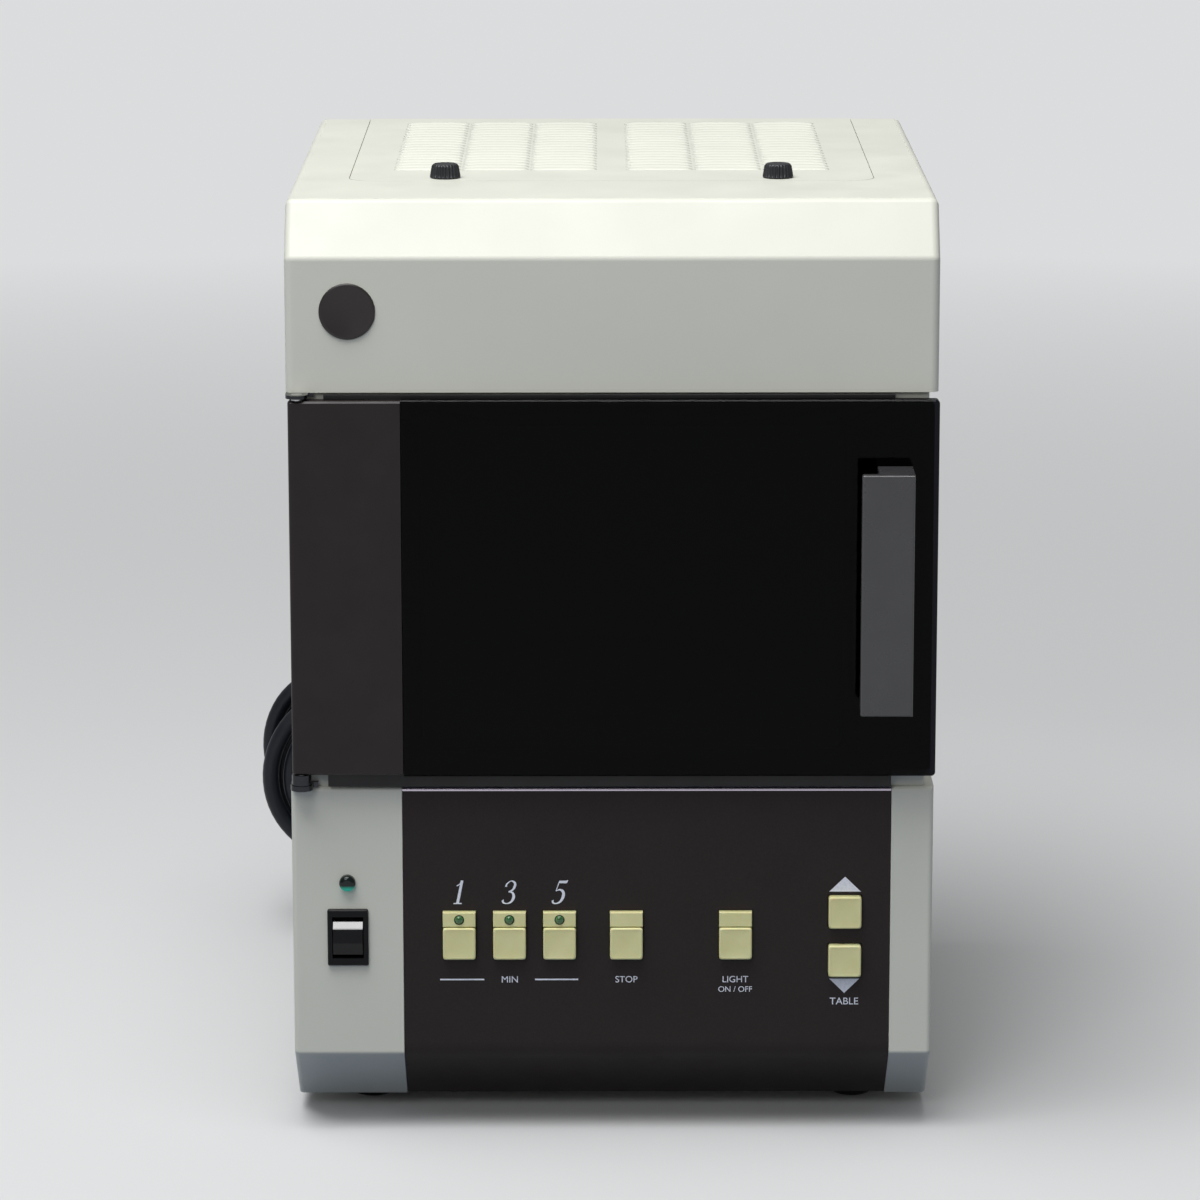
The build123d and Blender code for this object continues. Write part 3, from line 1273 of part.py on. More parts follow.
with BuildPart() as cord_coil:
    with BuildLine() as coil_path:
        Line(coil_points[0] - Vector(0, 0, CORD), coil_points[0])
        last_half = len(coil_points) - 2
        for half_turn in range(last_half + 1):
            here = coil_points[half_turn]
            there = coil_points[half_turn + 1]
            chord = there - here
            up = Vector(0, 0, 1 if half_turn % 2 == 0 else -1)
            crown = (here + there) * 0.5 + up * (chord.length / 2)
            TangentArc(here, crown, tangent=up)
            if half_turn < last_half:
                TangentArc(crown, there, tangent=chord)
        coil_end = crown + chord.normalized() * CORD
        Line(crown, coil_end)
    with BuildSketch(Plane(origin=coil_path.wires()[0] @ 0, z_dir=(0, 0, 1))):
        Circle(CORD / 2)
    sweep()
save(cord_coil, "cord_coil")

coil_wire = coil_path.wires()[0]
samples = [coil_wire @ (i / 900) for i in range(901)]
step = coil_wire.length / 900
apart = int(60 / step)
least = min(
    (samples[i] - samples[j]).length for i in range(len(samples)) for j in range(i + apart, len(samples))
)
print("cord_coil least gap to itself", round(least - CORD, 2), "length", round(coil_wire.length, 1))
coil_volume = pi * CORD**2 / 4 * coil_wire.length
print("cord_coil volume", round(cord_coil.part.volume), "against", round(coil_volume))

DROP = HANG_RUN * sin(pi / 4)
HANG_Z = COIL_FRONT_Z - CORD - HANG_RUN
hanging_route = [
    (GLAND_X, CORD_Y, HANG_Z + HANG_RUN),
    (GLAND_X, CORD_Y, HANG_Z),
    (GLAND_X - DROP, CORD_Y, HANG_Z - DROP),
    (COIL_START_X + DROP, CORD_Y, HANG_Z - DROP),
    (COIL_START_X, CORD_Y, HANG_Z),
    (COIL_START_X, CORD_Y, HANG_Z + HANG_RUN),
]
plug_route = [
    (coil_end.X, coil_end.Y, coil_end.Z),
    (-93, coil_end.Y, coil_end.Z),
    (-63, FACE_Y + 361, 43),
    (-33, FACE_Y + 359, 20),
    (0, FACE_Y + 356, 6),
    (30, FACE_Y + 353, 9),
    (60, FACE_Y + 350, 9),
]


def corner_radii(name, route):
    """One radius for each corner: 0.45 of the shorter run over the tangent of half the turn."""
    points = [Vector(*point) for point in route]
    radii = []
    for before, corner, after in zip(points, points[1:], points[2:]):
        run_in = corner - before
        run_out = after - corner
        half_turn = radians(run_in.get_angle(run_out)) / 2
        radii.append(0.45 * min(run_in.length, run_out.length) / tan(half_turn))
    print(name, "radii", [round(radius, 1) for radius in radii])
    return radii


free_length = 0
with BuildPart() as power_cord:
    for stretch, route in (("hanging", hanging_route), ("to plug", plug_route)):
        with BuildLine() as cord_path:
            FilletPolyline(*route, radius=corner_radii(stretch, route))
        wire = cord_path.wires()[0]
        free_length += wire.length
        with BuildSketch(Plane(origin=route[0], z_dir=Vector(*route[1]) - Vector(*route[0]))):
            Circle(CORD / 2)
        sweep(path=wire)
save(power_cord, "power_cord")
free_volume = pi * CORD**2 / 4 * free_length
print("power_cord volume", round(power_cord.part.volume), "against", round(free_volume))
print("whole cord", round(free_length + coil_wire.length))

with BuildPart() as cord_tie:
    tie_left = COIL_BACK_X + COIL_BACK_RADIUS - 2 * HALF_PITCH - CORD / 2 - 0.6
    tie_right = COIL_START_X + CORD / 2
    tie_front = CORD_Y - CORD / 2 - 0.5
    tie_back = CORD_Y + layer_steps[-1] + CORD / 2 + 0.5
    tie_middle = ((tie_left + tie_right) / 2, (tie_front + tie_back) / 2)
    with BuildSketch(level(90)):
        with Locations(tie_middle):
            RectangleRounded(tie_right - tie_left + 2.6, tie_back - tie_front + 2.6, 4.5)
            RectangleRounded(tie_right - tie_left, tie_back - tie_front, 3.2, mode=Mode.SUBTRACT)
        with Locations((tie_middle[0], tie_front - 2.6)):
            Rectangle(7, 3.4)
    extrude(amount=5)
save(cord_tie, "cord_tie")

with BuildPart() as cord_hook:
    hook_x = COIL_FRONT_X
    hook_slope = 0.26         # rises to the back, so that the higher loops rest on it too
    hook_corner_y = BACK_Y + HOOK_REACH - HOOK_ROD
    hook_root_z = 106.6
    hook_corner_z = hook_root_z + hook_slope * (hook_corner_y - BACK_Y)
    with BuildSketch(Plane(origin=(hook_x, BACK_Y, hook_root_z), x_dir=(1, 0, 0), z_dir=(0, 1, 0))):
        RectangleRounded(16, 34, 3)
    extrude(amount=2)
    with BuildLine() as rod_path:
        FilletPolyline(
            (hook_x, BACK_Y, hook_root_z),
            (hook_x, hook_corner_y, hook_corner_z),
            (hook_x, hook_corner_y, hook_corner_z + 14),
            radius=6,
        )
    with BuildSketch(Plane(origin=(hook_x, BACK_Y, hook_root_z), z_dir=(0, 1, hook_slope))):
        Circle(HOOK_ROD)
    sweep()
    split(bisect_by=Plane(origin=(0, BACK_Y, 0), z_dir=(0, 1, 0)), keep=Keep.TOP)
save(cord_hook, "cord_hook")

PLUG_LENGTH = 38.0
PLUG_RELIEF = 14.0
plug_mouth = Vector(*plug_route[-1])
plug_way = plug_mouth - Vector(*plug_route[-2])
plug_plane = Plane(origin=plug_mouth, x_dir=(0, 0, 1), z_dir=plug_way)

with BuildPart() as plug_body:
    with BuildSketch(plug_plane):
        Circle(5.4)
    with BuildSketch(plug_plane.offset(PLUG_RELIEF)):
        Circle(7.2)
    loft()
    with BuildSketch(plug_plane.offset(PLUG_RELIEF)):
        RectangleRounded(14.6, 16, 4)
    with BuildSketch(plug_plane.offset(PLUG_RELIEF + 12)):
        RectangleRounded(17.6, 25, 5)
    loft()
    with BuildSketch(plug_plane.offset(PLUG_RELIEF + 12)):
        RectangleRounded(17.6, 25, 5)
    extrude(amount=PLUG_LENGTH - PLUG_RELIEF - 12)
save(plug_body, "plug_body")

with BuildPart() as plug_blades:
    with BuildSketch(plug_plane.offset(PLUG_LENGTH)):
        with Locations((2.6, -6.35), (2.6, 6.35)):
            Rectangle(6.3, 1.5)
    extrude(amount=17.5)
    with BuildSketch(plug_plane.offset(PLUG_LENGTH)):
        with Locations((-4.6, 0)):
            Circle(2.4)
    extrude(amount=20)
save(plug_blades, "plug_blades")
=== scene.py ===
from math import cos, pi, radians, sin

import bpy
import numpy as np
from mathutils import Matrix, Vector


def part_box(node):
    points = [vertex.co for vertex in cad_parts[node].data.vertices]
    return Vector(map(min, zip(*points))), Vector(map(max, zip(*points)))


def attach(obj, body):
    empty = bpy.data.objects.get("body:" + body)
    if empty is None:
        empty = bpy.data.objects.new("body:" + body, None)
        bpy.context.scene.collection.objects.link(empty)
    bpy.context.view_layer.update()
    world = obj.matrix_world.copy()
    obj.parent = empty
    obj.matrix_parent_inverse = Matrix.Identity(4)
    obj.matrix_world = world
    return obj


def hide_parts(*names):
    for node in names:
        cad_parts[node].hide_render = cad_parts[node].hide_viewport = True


bl_info = {
    "name": "Light curing unit",
    "version": (1, 0, 0),
    "blender": (4, 5, 0),
    "location": "3D View > Sidebar > Curing Unit",
    "description": "Dresses a dental lab light curing unit with its materials, legends, cord and studio",
    "category": "Object",
}

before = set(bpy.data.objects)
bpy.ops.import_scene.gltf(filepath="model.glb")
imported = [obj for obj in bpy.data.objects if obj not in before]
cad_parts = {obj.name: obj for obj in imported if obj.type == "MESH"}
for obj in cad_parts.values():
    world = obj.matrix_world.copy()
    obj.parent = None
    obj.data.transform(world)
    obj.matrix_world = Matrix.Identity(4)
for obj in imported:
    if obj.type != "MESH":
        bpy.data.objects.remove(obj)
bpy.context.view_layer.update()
MM = 0.001

# Places that the solids give: the front face, the panel's face and the lid's top.
FACE_Y = float(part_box("base_housing")[0][1])
PANEL_Y = float(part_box("control_panel")[0][1])
LID_TOP = float(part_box("top_lid")[1][2])


# ---------------------------------------------------------------- colours and nodes
def linear(code):
    """sRGB hex, such as "c8c4a0", to the linear values that Blender works in."""
    values = [int(code[i:i + 2], 16) / 255 for i in (0, 2, 4)]
    return tuple(v / 12.92 if v <= 0.04045 else ((v + 0.055) / 1.055) ** 2.4 for v in values) + (1.0,)


def per_mm(size):
    """Texture scale, in cells per metre, whose cells measure the given millimetres."""
    return 1.0 / (size * MM)


def node(material, kind, inputs=None, **settings):
    """Adds a node; inputs maps a socket's name or number to a value or to another node's output."""
    tree = material.node_tree
    made = tree.nodes.new(kind)
    for name, value in settings.items():
        setattr(made, name, value)
    for name, value in (inputs or {}).items():
        socket = made.inputs[name]
        if isinstance(value, bpy.types.NodeSocket):
            tree.links.new(value, socket)
        else:
            socket.default_value = value
    return made


def blank(name):
    material = bpy.data.materials.new(name)
    material.use_nodes = True
    material.node_tree.nodes.clear()
    return material


def shade(material, sockets):
    """Ends a material with one Principled shader, whose sockets are values or other nodes' outputs."""
    shader = node(material, "ShaderNodeBsdfPrincipled", sockets)
    node(material, "ShaderNodeOutputMaterial", {"Surface": shader.outputs["BSDF"]})
    return material


def ramp(material, pattern, low=0.0, high=1.0, start=0.3, end=0.7):
    """Goes from low to high as the pattern goes from start to end. The pattern is another node's output, or
    the blotch size in millimetres, detail and roughness of soft noise."""
    if isinstance(pattern, tuple):
        size, detail, roughness = pattern
        pattern = node(material, "ShaderNodeTexNoise", {
            "Vector": node(material, "ShaderNodeTexCoord").outputs["Object"], "Scale": per_mm(size),
            "Detail": detail, "Roughness": roughness,
        }).outputs["Fac"]
    return node(material, "ShaderNodeMapRange", {
        "Value": pattern, "From Min": start, "From Max": end, "To Min": low, "To Max": high,
    }).outputs["Result"]


def finish(name, tones, patches, rough, rubbed, grain=None, depth=0.0, strength=0.0, **sockets):
    """A finish that is never quite even. Its colour drifts from the first tone to the second over the noise
    patches, which may add a ramp of its own, its roughness drifts over the range rough by the noise rubbed,
    and grain is the noise of a fine relief, as deep as depth in millimetres."""
    material = blank(name)
    drift = ramp(material, patches[:3], *patches[3:])
    tone = node(material, "ShaderNodeMix", {0: drift, 6: tones[0], 7: tones[1]}, data_type="RGBA")
    sockets = {socket.replace("_", " "): value for socket, value in sockets.items()}
    sockets["Base Color"] = tone.outputs[2]
    sockets["Roughness"] = ramp(material, rubbed, *rough)
    if grain:
        size, detail, roughness = grain
        noise = node(material, "ShaderNodeTexNoise", {
            "Vector": node(material, "ShaderNodeTexCoord").outputs["Object"], "Scale": per_mm(size),
            "Detail": detail, "Roughness": roughness,
        })
        bump = node(material, "ShaderNodeBump", {
            "Height": noise.outputs["Fac"], "Distance": depth * MM, "Strength": strength,
        })
        sockets["Normal"] = bump.outputs["Normal"]
    return shade(material, sockets)


def times(colour, *factors):
    """A linear colour with each channel multiplied, by one factor or by one for each."""
    factors = factors if len(factors) == 3 else factors * 3
    return tuple(c * f for c, f in zip(colour[:3], factors)) + (1.0,)


def seen_plainly(owner):
    """1 for what the camera, a mirror or glass shows, and 0 for light that bounces off."""
    rays = node(owner, "ShaderNodeLightPath").outputs
    seen = rays["Is Camera Ray"]
    for way in ("Is Glossy Ray", "Is Transmission Ray"):
        seen = node(owner, "ShaderNodeMath", {0: seen, 1: rays[way]}, operation="MAXIMUM").outputs[0]
    return seen


def dress(names, material):
    """Gives a material to CAD nodes, which stay as they are."""
    for name in names:
        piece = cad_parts[name]
        piece.data.materials.clear()
        piece.data.materials.append(material)


# ---------------------------------------------------------------- meshes
def new_piece(name, vertices, faces, material, body, smooth=True, slot=None, replaces=()):
    """Puts arrays into a mesh object at the origin that rides on a body."""
    mesh = bpy.data.meshes.new(name)
    mesh.from_pydata(np.asarray(vertices, float).tolist(), [], [tuple(f) for f in faces])
    mesh.validate()
    mesh.shade_smooth() if smooth else mesh.shade_flat()
    mesh.materials.append(material)
    piece = bpy.data.objects.new(name, mesh)
    bpy.context.scene.collection.objects.link(piece)
    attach(piece, body)
    if replaces:
        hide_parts(*replaces)
    return piece


def grid_faces(rows, columns, wrap_rows=False, wrap_columns=True, start=0):
    """Quads between the points of a rows x columns grid, numbered row by row."""
    row = np.arange(rows if wrap_rows else rows - 1)
    column = np.arange(columns if wrap_columns else columns - 1)
    r, c = np.meshgrid(row, column, indexing="ij")
    r2, c2 = (r + 1) % rows, (c + 1) % columns
    quads = np.stack([r * columns + c, r * columns + c2, r2 * columns + c2, r2 * columns + c], axis=-1)
    return (quads.reshape(-1, 4) + start).tolist()


def turned(profile, centre, axis, segments):
    """Grid of a surface of revolution. A point is centre + axis * h + r * (cos t * u + sin t * v), for each
    profile pair (r, h) and t from 0 to a full turn."""
    axis = Vector(axis).normalized()
    u = axis.orthogonal().normalized()
    v = axis.cross(u)
    profile = np.asarray(profile, float)
    turn = np.linspace(0, 2 * pi, segments, endpoint=False)
    spoke = np.cos(turn)[:, None] * np.array(u) + np.sin(turn)[:, None] * np.array(v)
    return np.array(centre) + profile[:, 1, None, None] * np.array(axis) + profile[:, 0, None, None] * spoke


def spun(profile, centre, axis, segments=48):
    """Turned shell. The first and last radius may be 0: those rows are one point each, so the shell is
    closed. Going up the axis with r to the right, faces point outwards."""
    return shell(turned(profile, centre, axis, segments))


def ring(profile, centre, axis, segments=48):
    """Turned ring, of a profile that goes round without meeting the axis."""
    grid = turned(profile, centre, axis, segments)
    return grid.reshape(-1, 3), grid_faces(len(grid), segments, wrap_rows=True)


def shell(grid):
    """Closes a grid of rings into vertices and faces, with one point at a ring of no size."""
    rows, columns = grid.shape[:2]
    low_pole = np.ptp(grid[0], axis=0).max() < 1e-9
    high_pole = np.ptp(grid[-1], axis=0).max() < 1e-9
    body = grid[(1 if low_pole else 0):(rows - 1 if high_pole else rows)]
    points = body.reshape(-1, 3)
    faces = grid_faces(len(body), columns)
    count = len(points)
    around = np.arange(columns)
    after = (around + 1) % columns
    if low_pole:
        points = np.vstack([points, grid[0, :1]])
        faces += np.stack([np.full(columns, count), after, around], axis=-1).tolist()
        count += 1
    last = (len(body) - 1) * columns
    if high_pole:
        points = np.vstack([points, grid[-1, :1]])
        faces += np.stack([np.full(columns, count), last + around, last + after], axis=-1).tolist()
    return points, faces


def squarish(profile, half_width, half_height, centre, right, up, corner=6.0, segments=64):
    """Closed shell on a rounded-square outline. For each profile pair (inset, height) the ring is
    centre + out * height + (half_width - inset) * c(t) * right + (half_height - inset) * s(t) * up,
    where c and s are the cosine and sine raised to 2 / corner with their signs kept."""
    right, up = np.array(right, float), np.array(up, float)
    out = np.cross(right, up)
    turn = np.linspace(0, 2 * pi, segments, endpoint=False) + pi / segments
    across = np.sign(np.cos(turn)) * np.abs(np.cos(turn)) ** (2 / corner)
    upward = np.sign(np.sin(turn)) * np.abs(np.sin(turn)) ** (2 / corner)
    profile = np.asarray(profile, float)
    inset, height = profile[:, 0, None], profile[:, 1, None]
    wide = np.maximum(half_width - inset, 0) * across
    tall = np.maximum(half_height - inset, 0) * upward
    grid = np.array(centre) + wide[..., None] * right + tall[..., None] * up + height[..., None] * out
    return shell(grid)


def joined(*parts):
    """Several (vertices, faces) as one."""
    vertices, faces, count = [], [], 0
    for points, quads in parts:
        vertices.append(np.asarray(points, float))
        faces += [tuple(int(i) + count for i in face) for face in quads]
        count += len(points)
    return np.vstack(vertices), faces


# ---------------------------------------------------------------- settings
class StageSettings(bpy.types.PropertyGroup):
    floor_colour: bpy.props.FloatVectorProperty(
        name="Floor", description="Colour of the plain floor", subtype="COLOR", size=4, min=0, max=1,
        default=linear("cdcecf"),
    )
    bounce_colour: bpy.props.FloatVectorProperty(
        name="Bounce", description="Colour of the floor for the light that it throws back on the object",
        subtype="COLOR", size=4, min=0, max=1, default=(0.10, 0.13, 0.19, 1.0),
    )
    backdrop_level: bpy.props.FloatProperty(
        name="Backdrop", description="How bright the floor shows far behind the object", default=1.14, min=0,
    )
    overhead_power: bpy.props.FloatProperty(
        name="Overhead softbox", description="Power of the large soft light above the front",
        default=74.0, min=0, unit="POWER",
    )
    front_power: bpy.props.FloatProperty(
        name="Front fill", description="Power of the soft light above the camera",
        default=18.0, min=0, unit="POWER",
    )
    sky_strength: bpy.props.FloatProperty(
        name="Room light", description="Strength of the even light from all round", default=0.28, min=0,
    )
    lens: bpy.props.FloatProperty(
        name="Lens", description="Focal length on a 36 mm wide frame", default=152.25, min=20, unit="CAMERA",
    )


class CordSettings(bpy.types.PropertyGroup):
    diameter: bpy.props.FloatProperty(
        name="Cord diameter", description="Outside diameter of the mains cord", default=8.5 * MM,
        unit="LENGTH",
    )
    colour: bpy.props.FloatVectorProperty(
        name="Cord colour", description="Colour of the cord's sheath", subtype="COLOR", size=4, min=0, max=1,
        default=linear("10131a"),
    )


class ShellSettings(bpy.types.PropertyGroup):
    ivory: bpy.props.FloatVectorProperty(
        name="Shell", description="Colour of the ivory paint", subtype="COLOR", size=4, min=0, max=1,
        default=linear("d7d8cd"),
    )
    panel_brown: bpy.props.FloatVectorProperty(
        name="Panel", description="Colour of the control panel's film", subtype="COLOR", size=4, min=0, max=1,
        default=linear("241f1f"),
    )
    print_colour: bpy.props.FloatVectorProperty(
        name="Print", description="Colour of the printed numbers and marks", subtype="COLOR", size=4,
        min=0, max=1, default=linear("f0f4ff"),
    )
    paint_grain: bpy.props.FloatProperty(
        name="Paint texture", description="Spacing of the paint's orange peel", default=0.9 * MM,
        unit="LENGTH",
    )


class KeySettings(bpy.types.PropertyGroup):
    cap_colour: bpy.props.FloatVectorProperty(
        name="Keys", description="Colour of the moulded keys", subtype="COLOR", size=4, min=0, max=1,
        default=linear("e6e3ac"),
    )
    corner: bpy.props.FloatProperty(
        name="Corner sharpness", description="Power of the rounded square that the keys follow",
        default=14.0, min=2, max=40,
    )


class DoorSettings(bpy.types.PropertyGroup):
    smoke: bpy.props.FloatVectorProperty(
        name="Window", description="Tint of the smoked acrylic", subtype="COLOR", size=4, min=0, max=1,
        default=linear("1c1c22"),
    )
    handle_colour: bpy.props.FloatVectorProperty(
        name="Handle", description="Colour of the handle", subtype="COLOR", size=4, min=0, max=1,
        default=linear("343436"),
    )


# ---------------------------------------------------------------- materials
def powder_coated_steel(colour, grain):
    """Powder coat on sheet steel, sprayed and baked: a satin skin with a fine orange peel that breaks
    up highlights, tone that drifts a little over each panel, and faint specks of dust."""
    material = blank("powder_coated_steel_ivory")
    tone = node(material, "ShaderNodeMix", {
        0: ramp(material, (70, 3, 0.5)), 6: times(colour, 0.955), 7: colour}, data_type="RGBA")
    specks = ramp(material, (2.6, 5, 0.7), 0.0, 0.05, 0.62, 0.78)
    dusty = node(material, "ShaderNodeMix", {
        0: specks, 6: tone.outputs[2], 7: linear("8c8a7c")}, data_type="RGBA")
    peel = node(material, "ShaderNodeTexNoise", {
        "Vector": node(material, "ShaderNodeTexCoord").outputs["Object"], "Scale": 1 / grain,
        "Detail": 2, "Roughness": 0.5,
    })
    bump = node(material, "ShaderNodeBump", {
        "Height": peel.outputs["Fac"], "Distance": 0.05 * MM, "Strength": 0.35})
    return shade(material, {
        "Base Color": dusty.outputs[2], "Roughness": ramp(material, (28, 5, 0.6), 0.36, 0.5),
        "Normal": bump.outputs["Normal"], "IOR": 1.5, "Coat Weight": 0.08, "Coat Roughness": 0.3,
    })


def panel_film(colour):
    """Textured polycarbonate film, screen printed from behind and bonded to sheet: dark brown, almost
    matt, with a fine even grain that scatters highlights into a soft haze, and a band of bright smooth metal
    painted along the fold at its top as the fold's painted highlight."""
    material = blank("panel_film_brown")
    where = node(material, "ShaderNodeTexCoord").outputs["Object"]
    weave = node(material, "ShaderNodeTexNoise", {
        "Vector": where, "Scale": per_mm(0.8), "Detail": 2, "Roughness": 0.6}).outputs["Fac"]
    tone = node(material, "ShaderNodeMix", {
        0: ramp(material, (45, 3, 0.5)), 6: colour, 7: times(colour, 1.12)}, data_type="RGBA")
    printed = node(material, "ShaderNodeMix", {
        0: ramp(material, weave, 0.0, 0.22, 0.35, 0.75), 6: tone.outputs[2], 7: linear("3a3434"),
    }, data_type="RGBA")
    height = node(material, "ShaderNodeSeparateXYZ", {0: where}).outputs["Z"]
    fold = float(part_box("control_panel")[1][2])
    # Painted highlight: a band of bright, smooth metal along the fold stands in for the fold's highlight.
    painted_fold_highlight = ramp(material, height, 0.0, 1.0, fold - 1.7 * MM, fold - 1.5 * MM)
    whole = node(material, "ShaderNodeMix", {
        0: painted_fold_highlight, 6: printed.outputs[2], 7: linear("c9c0d0")}, data_type="RGBA")
    satin = ramp(material, (18, 4, 0.5), 0.42, 0.54)
    bump = node(material, "ShaderNodeBump", {"Height": weave, "Distance": 0.04 * MM, "Strength": 0.4})
    return shade(material, {
        "Base Color": whole.outputs[2], "Metallic": painted_fold_highlight,
        "Roughness": ramp(material, painted_fold_highlight, satin, 0.22, 0.0, 1.0), "Normal": bump.outputs["Normal"],
        "IOR": 1.45, "Specular IOR Level": 0.22,
    })


def smoked_acrylic(smoke):
    """Cast acrylic sheet, dyed nearly black and polished: a clean dark mirror through which only bright
    things inside show, with the faintest wiping marks. Its low IOR keeps the pale floor out of it."""
    material = blank("smoked_acrylic")
    return shade(material, {
        "Base Color": smoke, "Roughness": ramp(material, (40, 6, 0.65), 0.015, 0.05), "IOR": 1.17,
        "Transmission Weight": 1.0,
    })


def satin_moulding(name, colour, rough=(0.38, 0.5), grain=0.35, shine=0.5):
    """Moulded ABS with a spark-eroded texture: a fine even grain, softly shining, a little lighter where
    handling has polished it."""
    colour = linear(colour) if isinstance(colour, str) else colour
    lighter = tuple(min(1.0, c * 1.15 + 0.003) for c in colour[:3]) + (1.0,)
    return finish(name, (colour, lighter), (16, 5, 0.6), rough, (12, 4, 0.5), (grain, 2, 0.5), 0.03, 0.45,
                  IOR=1.5, Specular_IOR_Level=shine)


def key_moulding(colour):
    """Moulded ABS, pale butter yellow: smooth and softly shining, slightly deeper where fingers press."""
    return finish("key_moulding_butter", (colour, times(colour, 0.94, 0.93, 0.86)), (9, 4, 0.5),
                  (0.3, 0.42), (5, 4, 0.5), (0.5, 2, 0.5), 0.02, 0.25, IOR=1.5, Subsurface_Weight=0.12,
                  Subsurface_Scale=0.002)


def sheet_zinc():
    """Zinc-plated steel: cool grey with the clouded, faintly iridescent patches of the plating bath."""
    return finish("zinc_plated_steel", (linear("b4b6b6"), linear("cfcdc4")), (9, 6, 0.65), (0.28, 0.46),
                  (4, 5, 0.5), (0.6, 3, 0.5), 0.02, 0.3, Metallic=1.0)


def plain_metal(name, code, rough):
    """Bare machined metal: even, with fine marks that blur its reflections by turns."""
    marks = (0.5, 3, 0.6)
    colour = linear(code)
    return finish(name, (colour, times(colour, 0.86)), (14, 4, 0.5), (rough * 0.75, rough * 1.25), marks,
                  marks, 0.02, 0.4, Metallic=1.0)


def hammered_reflector():
    """Hammered anodised aluminium, pressed with shallow facets about 9 mm across: each facet throws its
    own patch of light, with painted light in its middle and painted shade at its rim."""
    material = blank("hammered_reflector")
    facets = node(material, "ShaderNodeTexVoronoi", {
        "Vector": node(material, "ShaderNodeTexCoord").outputs["Object"], "Scale": per_mm(9),
    }, feature="SMOOTH_F1").outputs["Distance"]
    # Painted light and shade: lighter in each facet's middle and darker towards its rim, following the bump.
    tone = node(material, "ShaderNodeMix", {
        0: ramp(material, facets, 0, 1, 0.0, 0.8), 6: linear("e4e6e8"), 7: linear("c9ccd0"),
    }, data_type="RGBA")
    bump = node(material, "ShaderNodeBump", {"Height": facets, "Distance": 0.6 * MM, "Strength": 0.45})
    return shade(material, {
        "Base Color": tone.outputs[2], "Roughness": ramp(material, (20, 4, 0.5), 0.14, 0.24),
        "Normal": bump.outputs["Normal"], "Metallic": 1.0,
    })


def moulded_rubber(name, code, rough):
    """Moulded rubber: matt and slightly dusty, with a soft skin that shows no sharp highlight."""
    return finish(name, (linear(code), linear("5a5853")), (7, 6, 0.7, 0.0, 0.25, 0.45, 0.8),
                  (rough - 0.06, rough + 0.1), (5, 4, 0.5), (0.7, 3, 0.5), 0.05, 0.5, IOR=1.5,
                  Specular_IOR_Level=0.35, Sheen_Weight=0.12, Sheen_Roughness=0.5)


def cord_sheath(colour):
    """Extruded PVC sheath: smooth along its length with a soft sheen, picked out by slight unevenness."""
    return finish("cord_sheath_pvc", (colour, times(colour, 1.35)), (11, 4, 0.5), (0.34, 0.48), (6, 4, 0.5),
                  (1.6, 3, 0.5), 0.06, 0.4, IOR=1.53, Specular_IOR_Level=0.3)


def foam():
    """Closed-cell sponge rubber: soot black with open cut cells, painted darker at the bottom of each
    cell as painted shade.
    """
    material = blank("sponge_rubber")
    cells = node(material, "ShaderNodeTexVoronoi", {
        "Vector": node(material, "ShaderNodeTexCoord").outputs["Object"], "Scale": per_mm(0.9),
    }).outputs["Distance"]
    # Painted shade: darkest at the bottom of each cell's pit, lighter at the cell's rim.
    tone = node(material, "ShaderNodeMix", {
        0: ramp(material, cells, 0, 1, 0.1, 0.8), 6: linear("141414"), 7: linear("2b2b2b")}, data_type="RGBA")
    bump = node(material, "ShaderNodeBump", {"Height": cells, "Distance": 0.3 * MM, "Strength": 0.8})
    return shade(material, {
        "Base Color": tone.outputs[2], "Normal": bump.outputs["Normal"], "IOR": 1.45, "Roughness": 0.9})


def led_lens():
    """Green diffused epoxy, cast: a clear-coated bead, dark in the middle and painted pale at its edge, as
    painted light for the room light that it gathers."""
    material = blank("led_lens_green")
    # Painted light: the colour turns pale green towards the bead's edge, as the light that it gathers.
    edge = node(material, "ShaderNodeLayerWeight", {"Blend": 0.35}).outputs["Facing"]
    tone = node(material, "ShaderNodeMix", {
        0: edge, 6: linear("1d5a24"), 7: linear("8cc47e")}, data_type="RGBA")
    return shade(material, {
        "Base Color": tone.outputs[2], "Roughness": ramp(material, (1.5, 3, 0.5), 0.12, 0.2), "IOR": 1.5,
        "Coat Weight": 0.6, "Coat Roughness": 0.08, "Subsurface Weight": 0.35, "Subsurface Scale": 0.002,
    })


def lit_lens():
    """Teal panel lamp, polished polystyrene: a dark lens with a bright crescent painted at its foot, in its
    colour and in a faint glow, as painted light for the light that enters above and gathers there."""
    material = blank("pilot_lens_teal")
    foot = float(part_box("pilot_lamp")[0][2])
    where = node(material, "ShaderNodeTexCoord").outputs["Object"]
    height = node(material, "ShaderNodeSeparateXYZ", {0: where}).outputs["Z"]
    # Painted light: bright teal colour and a faint glow at the lens's foot stand in for the light that it
    # gathers.
    painted_crescent_light = ramp(material, height, 1.0, 0.0, foot + 1.1 * MM, foot + 3.0 * MM)
    tone = node(material, "ShaderNodeMix", {
        0: painted_crescent_light, 6: linear("031312"), 7: linear("17b59a")}, data_type="RGBA")
    painted_crescent_glow = node(material, "ShaderNodeMath", {0: painted_crescent_light, 1: 0.3}, operation="MULTIPLY")
    return shade(material, {
        "Base Color": tone.outputs[2], "Roughness": ramp(material, (1.5, 3, 0.5), 0.08, 0.16), "IOR": 1.45,
        "Specular IOR Level": 0.3, "Coat Weight": 0.25, "Coat Roughness": 0.05,
        "Emission Color": linear("1fb79c"), "Emission Strength": painted_crescent_glow.outputs[0],
    })


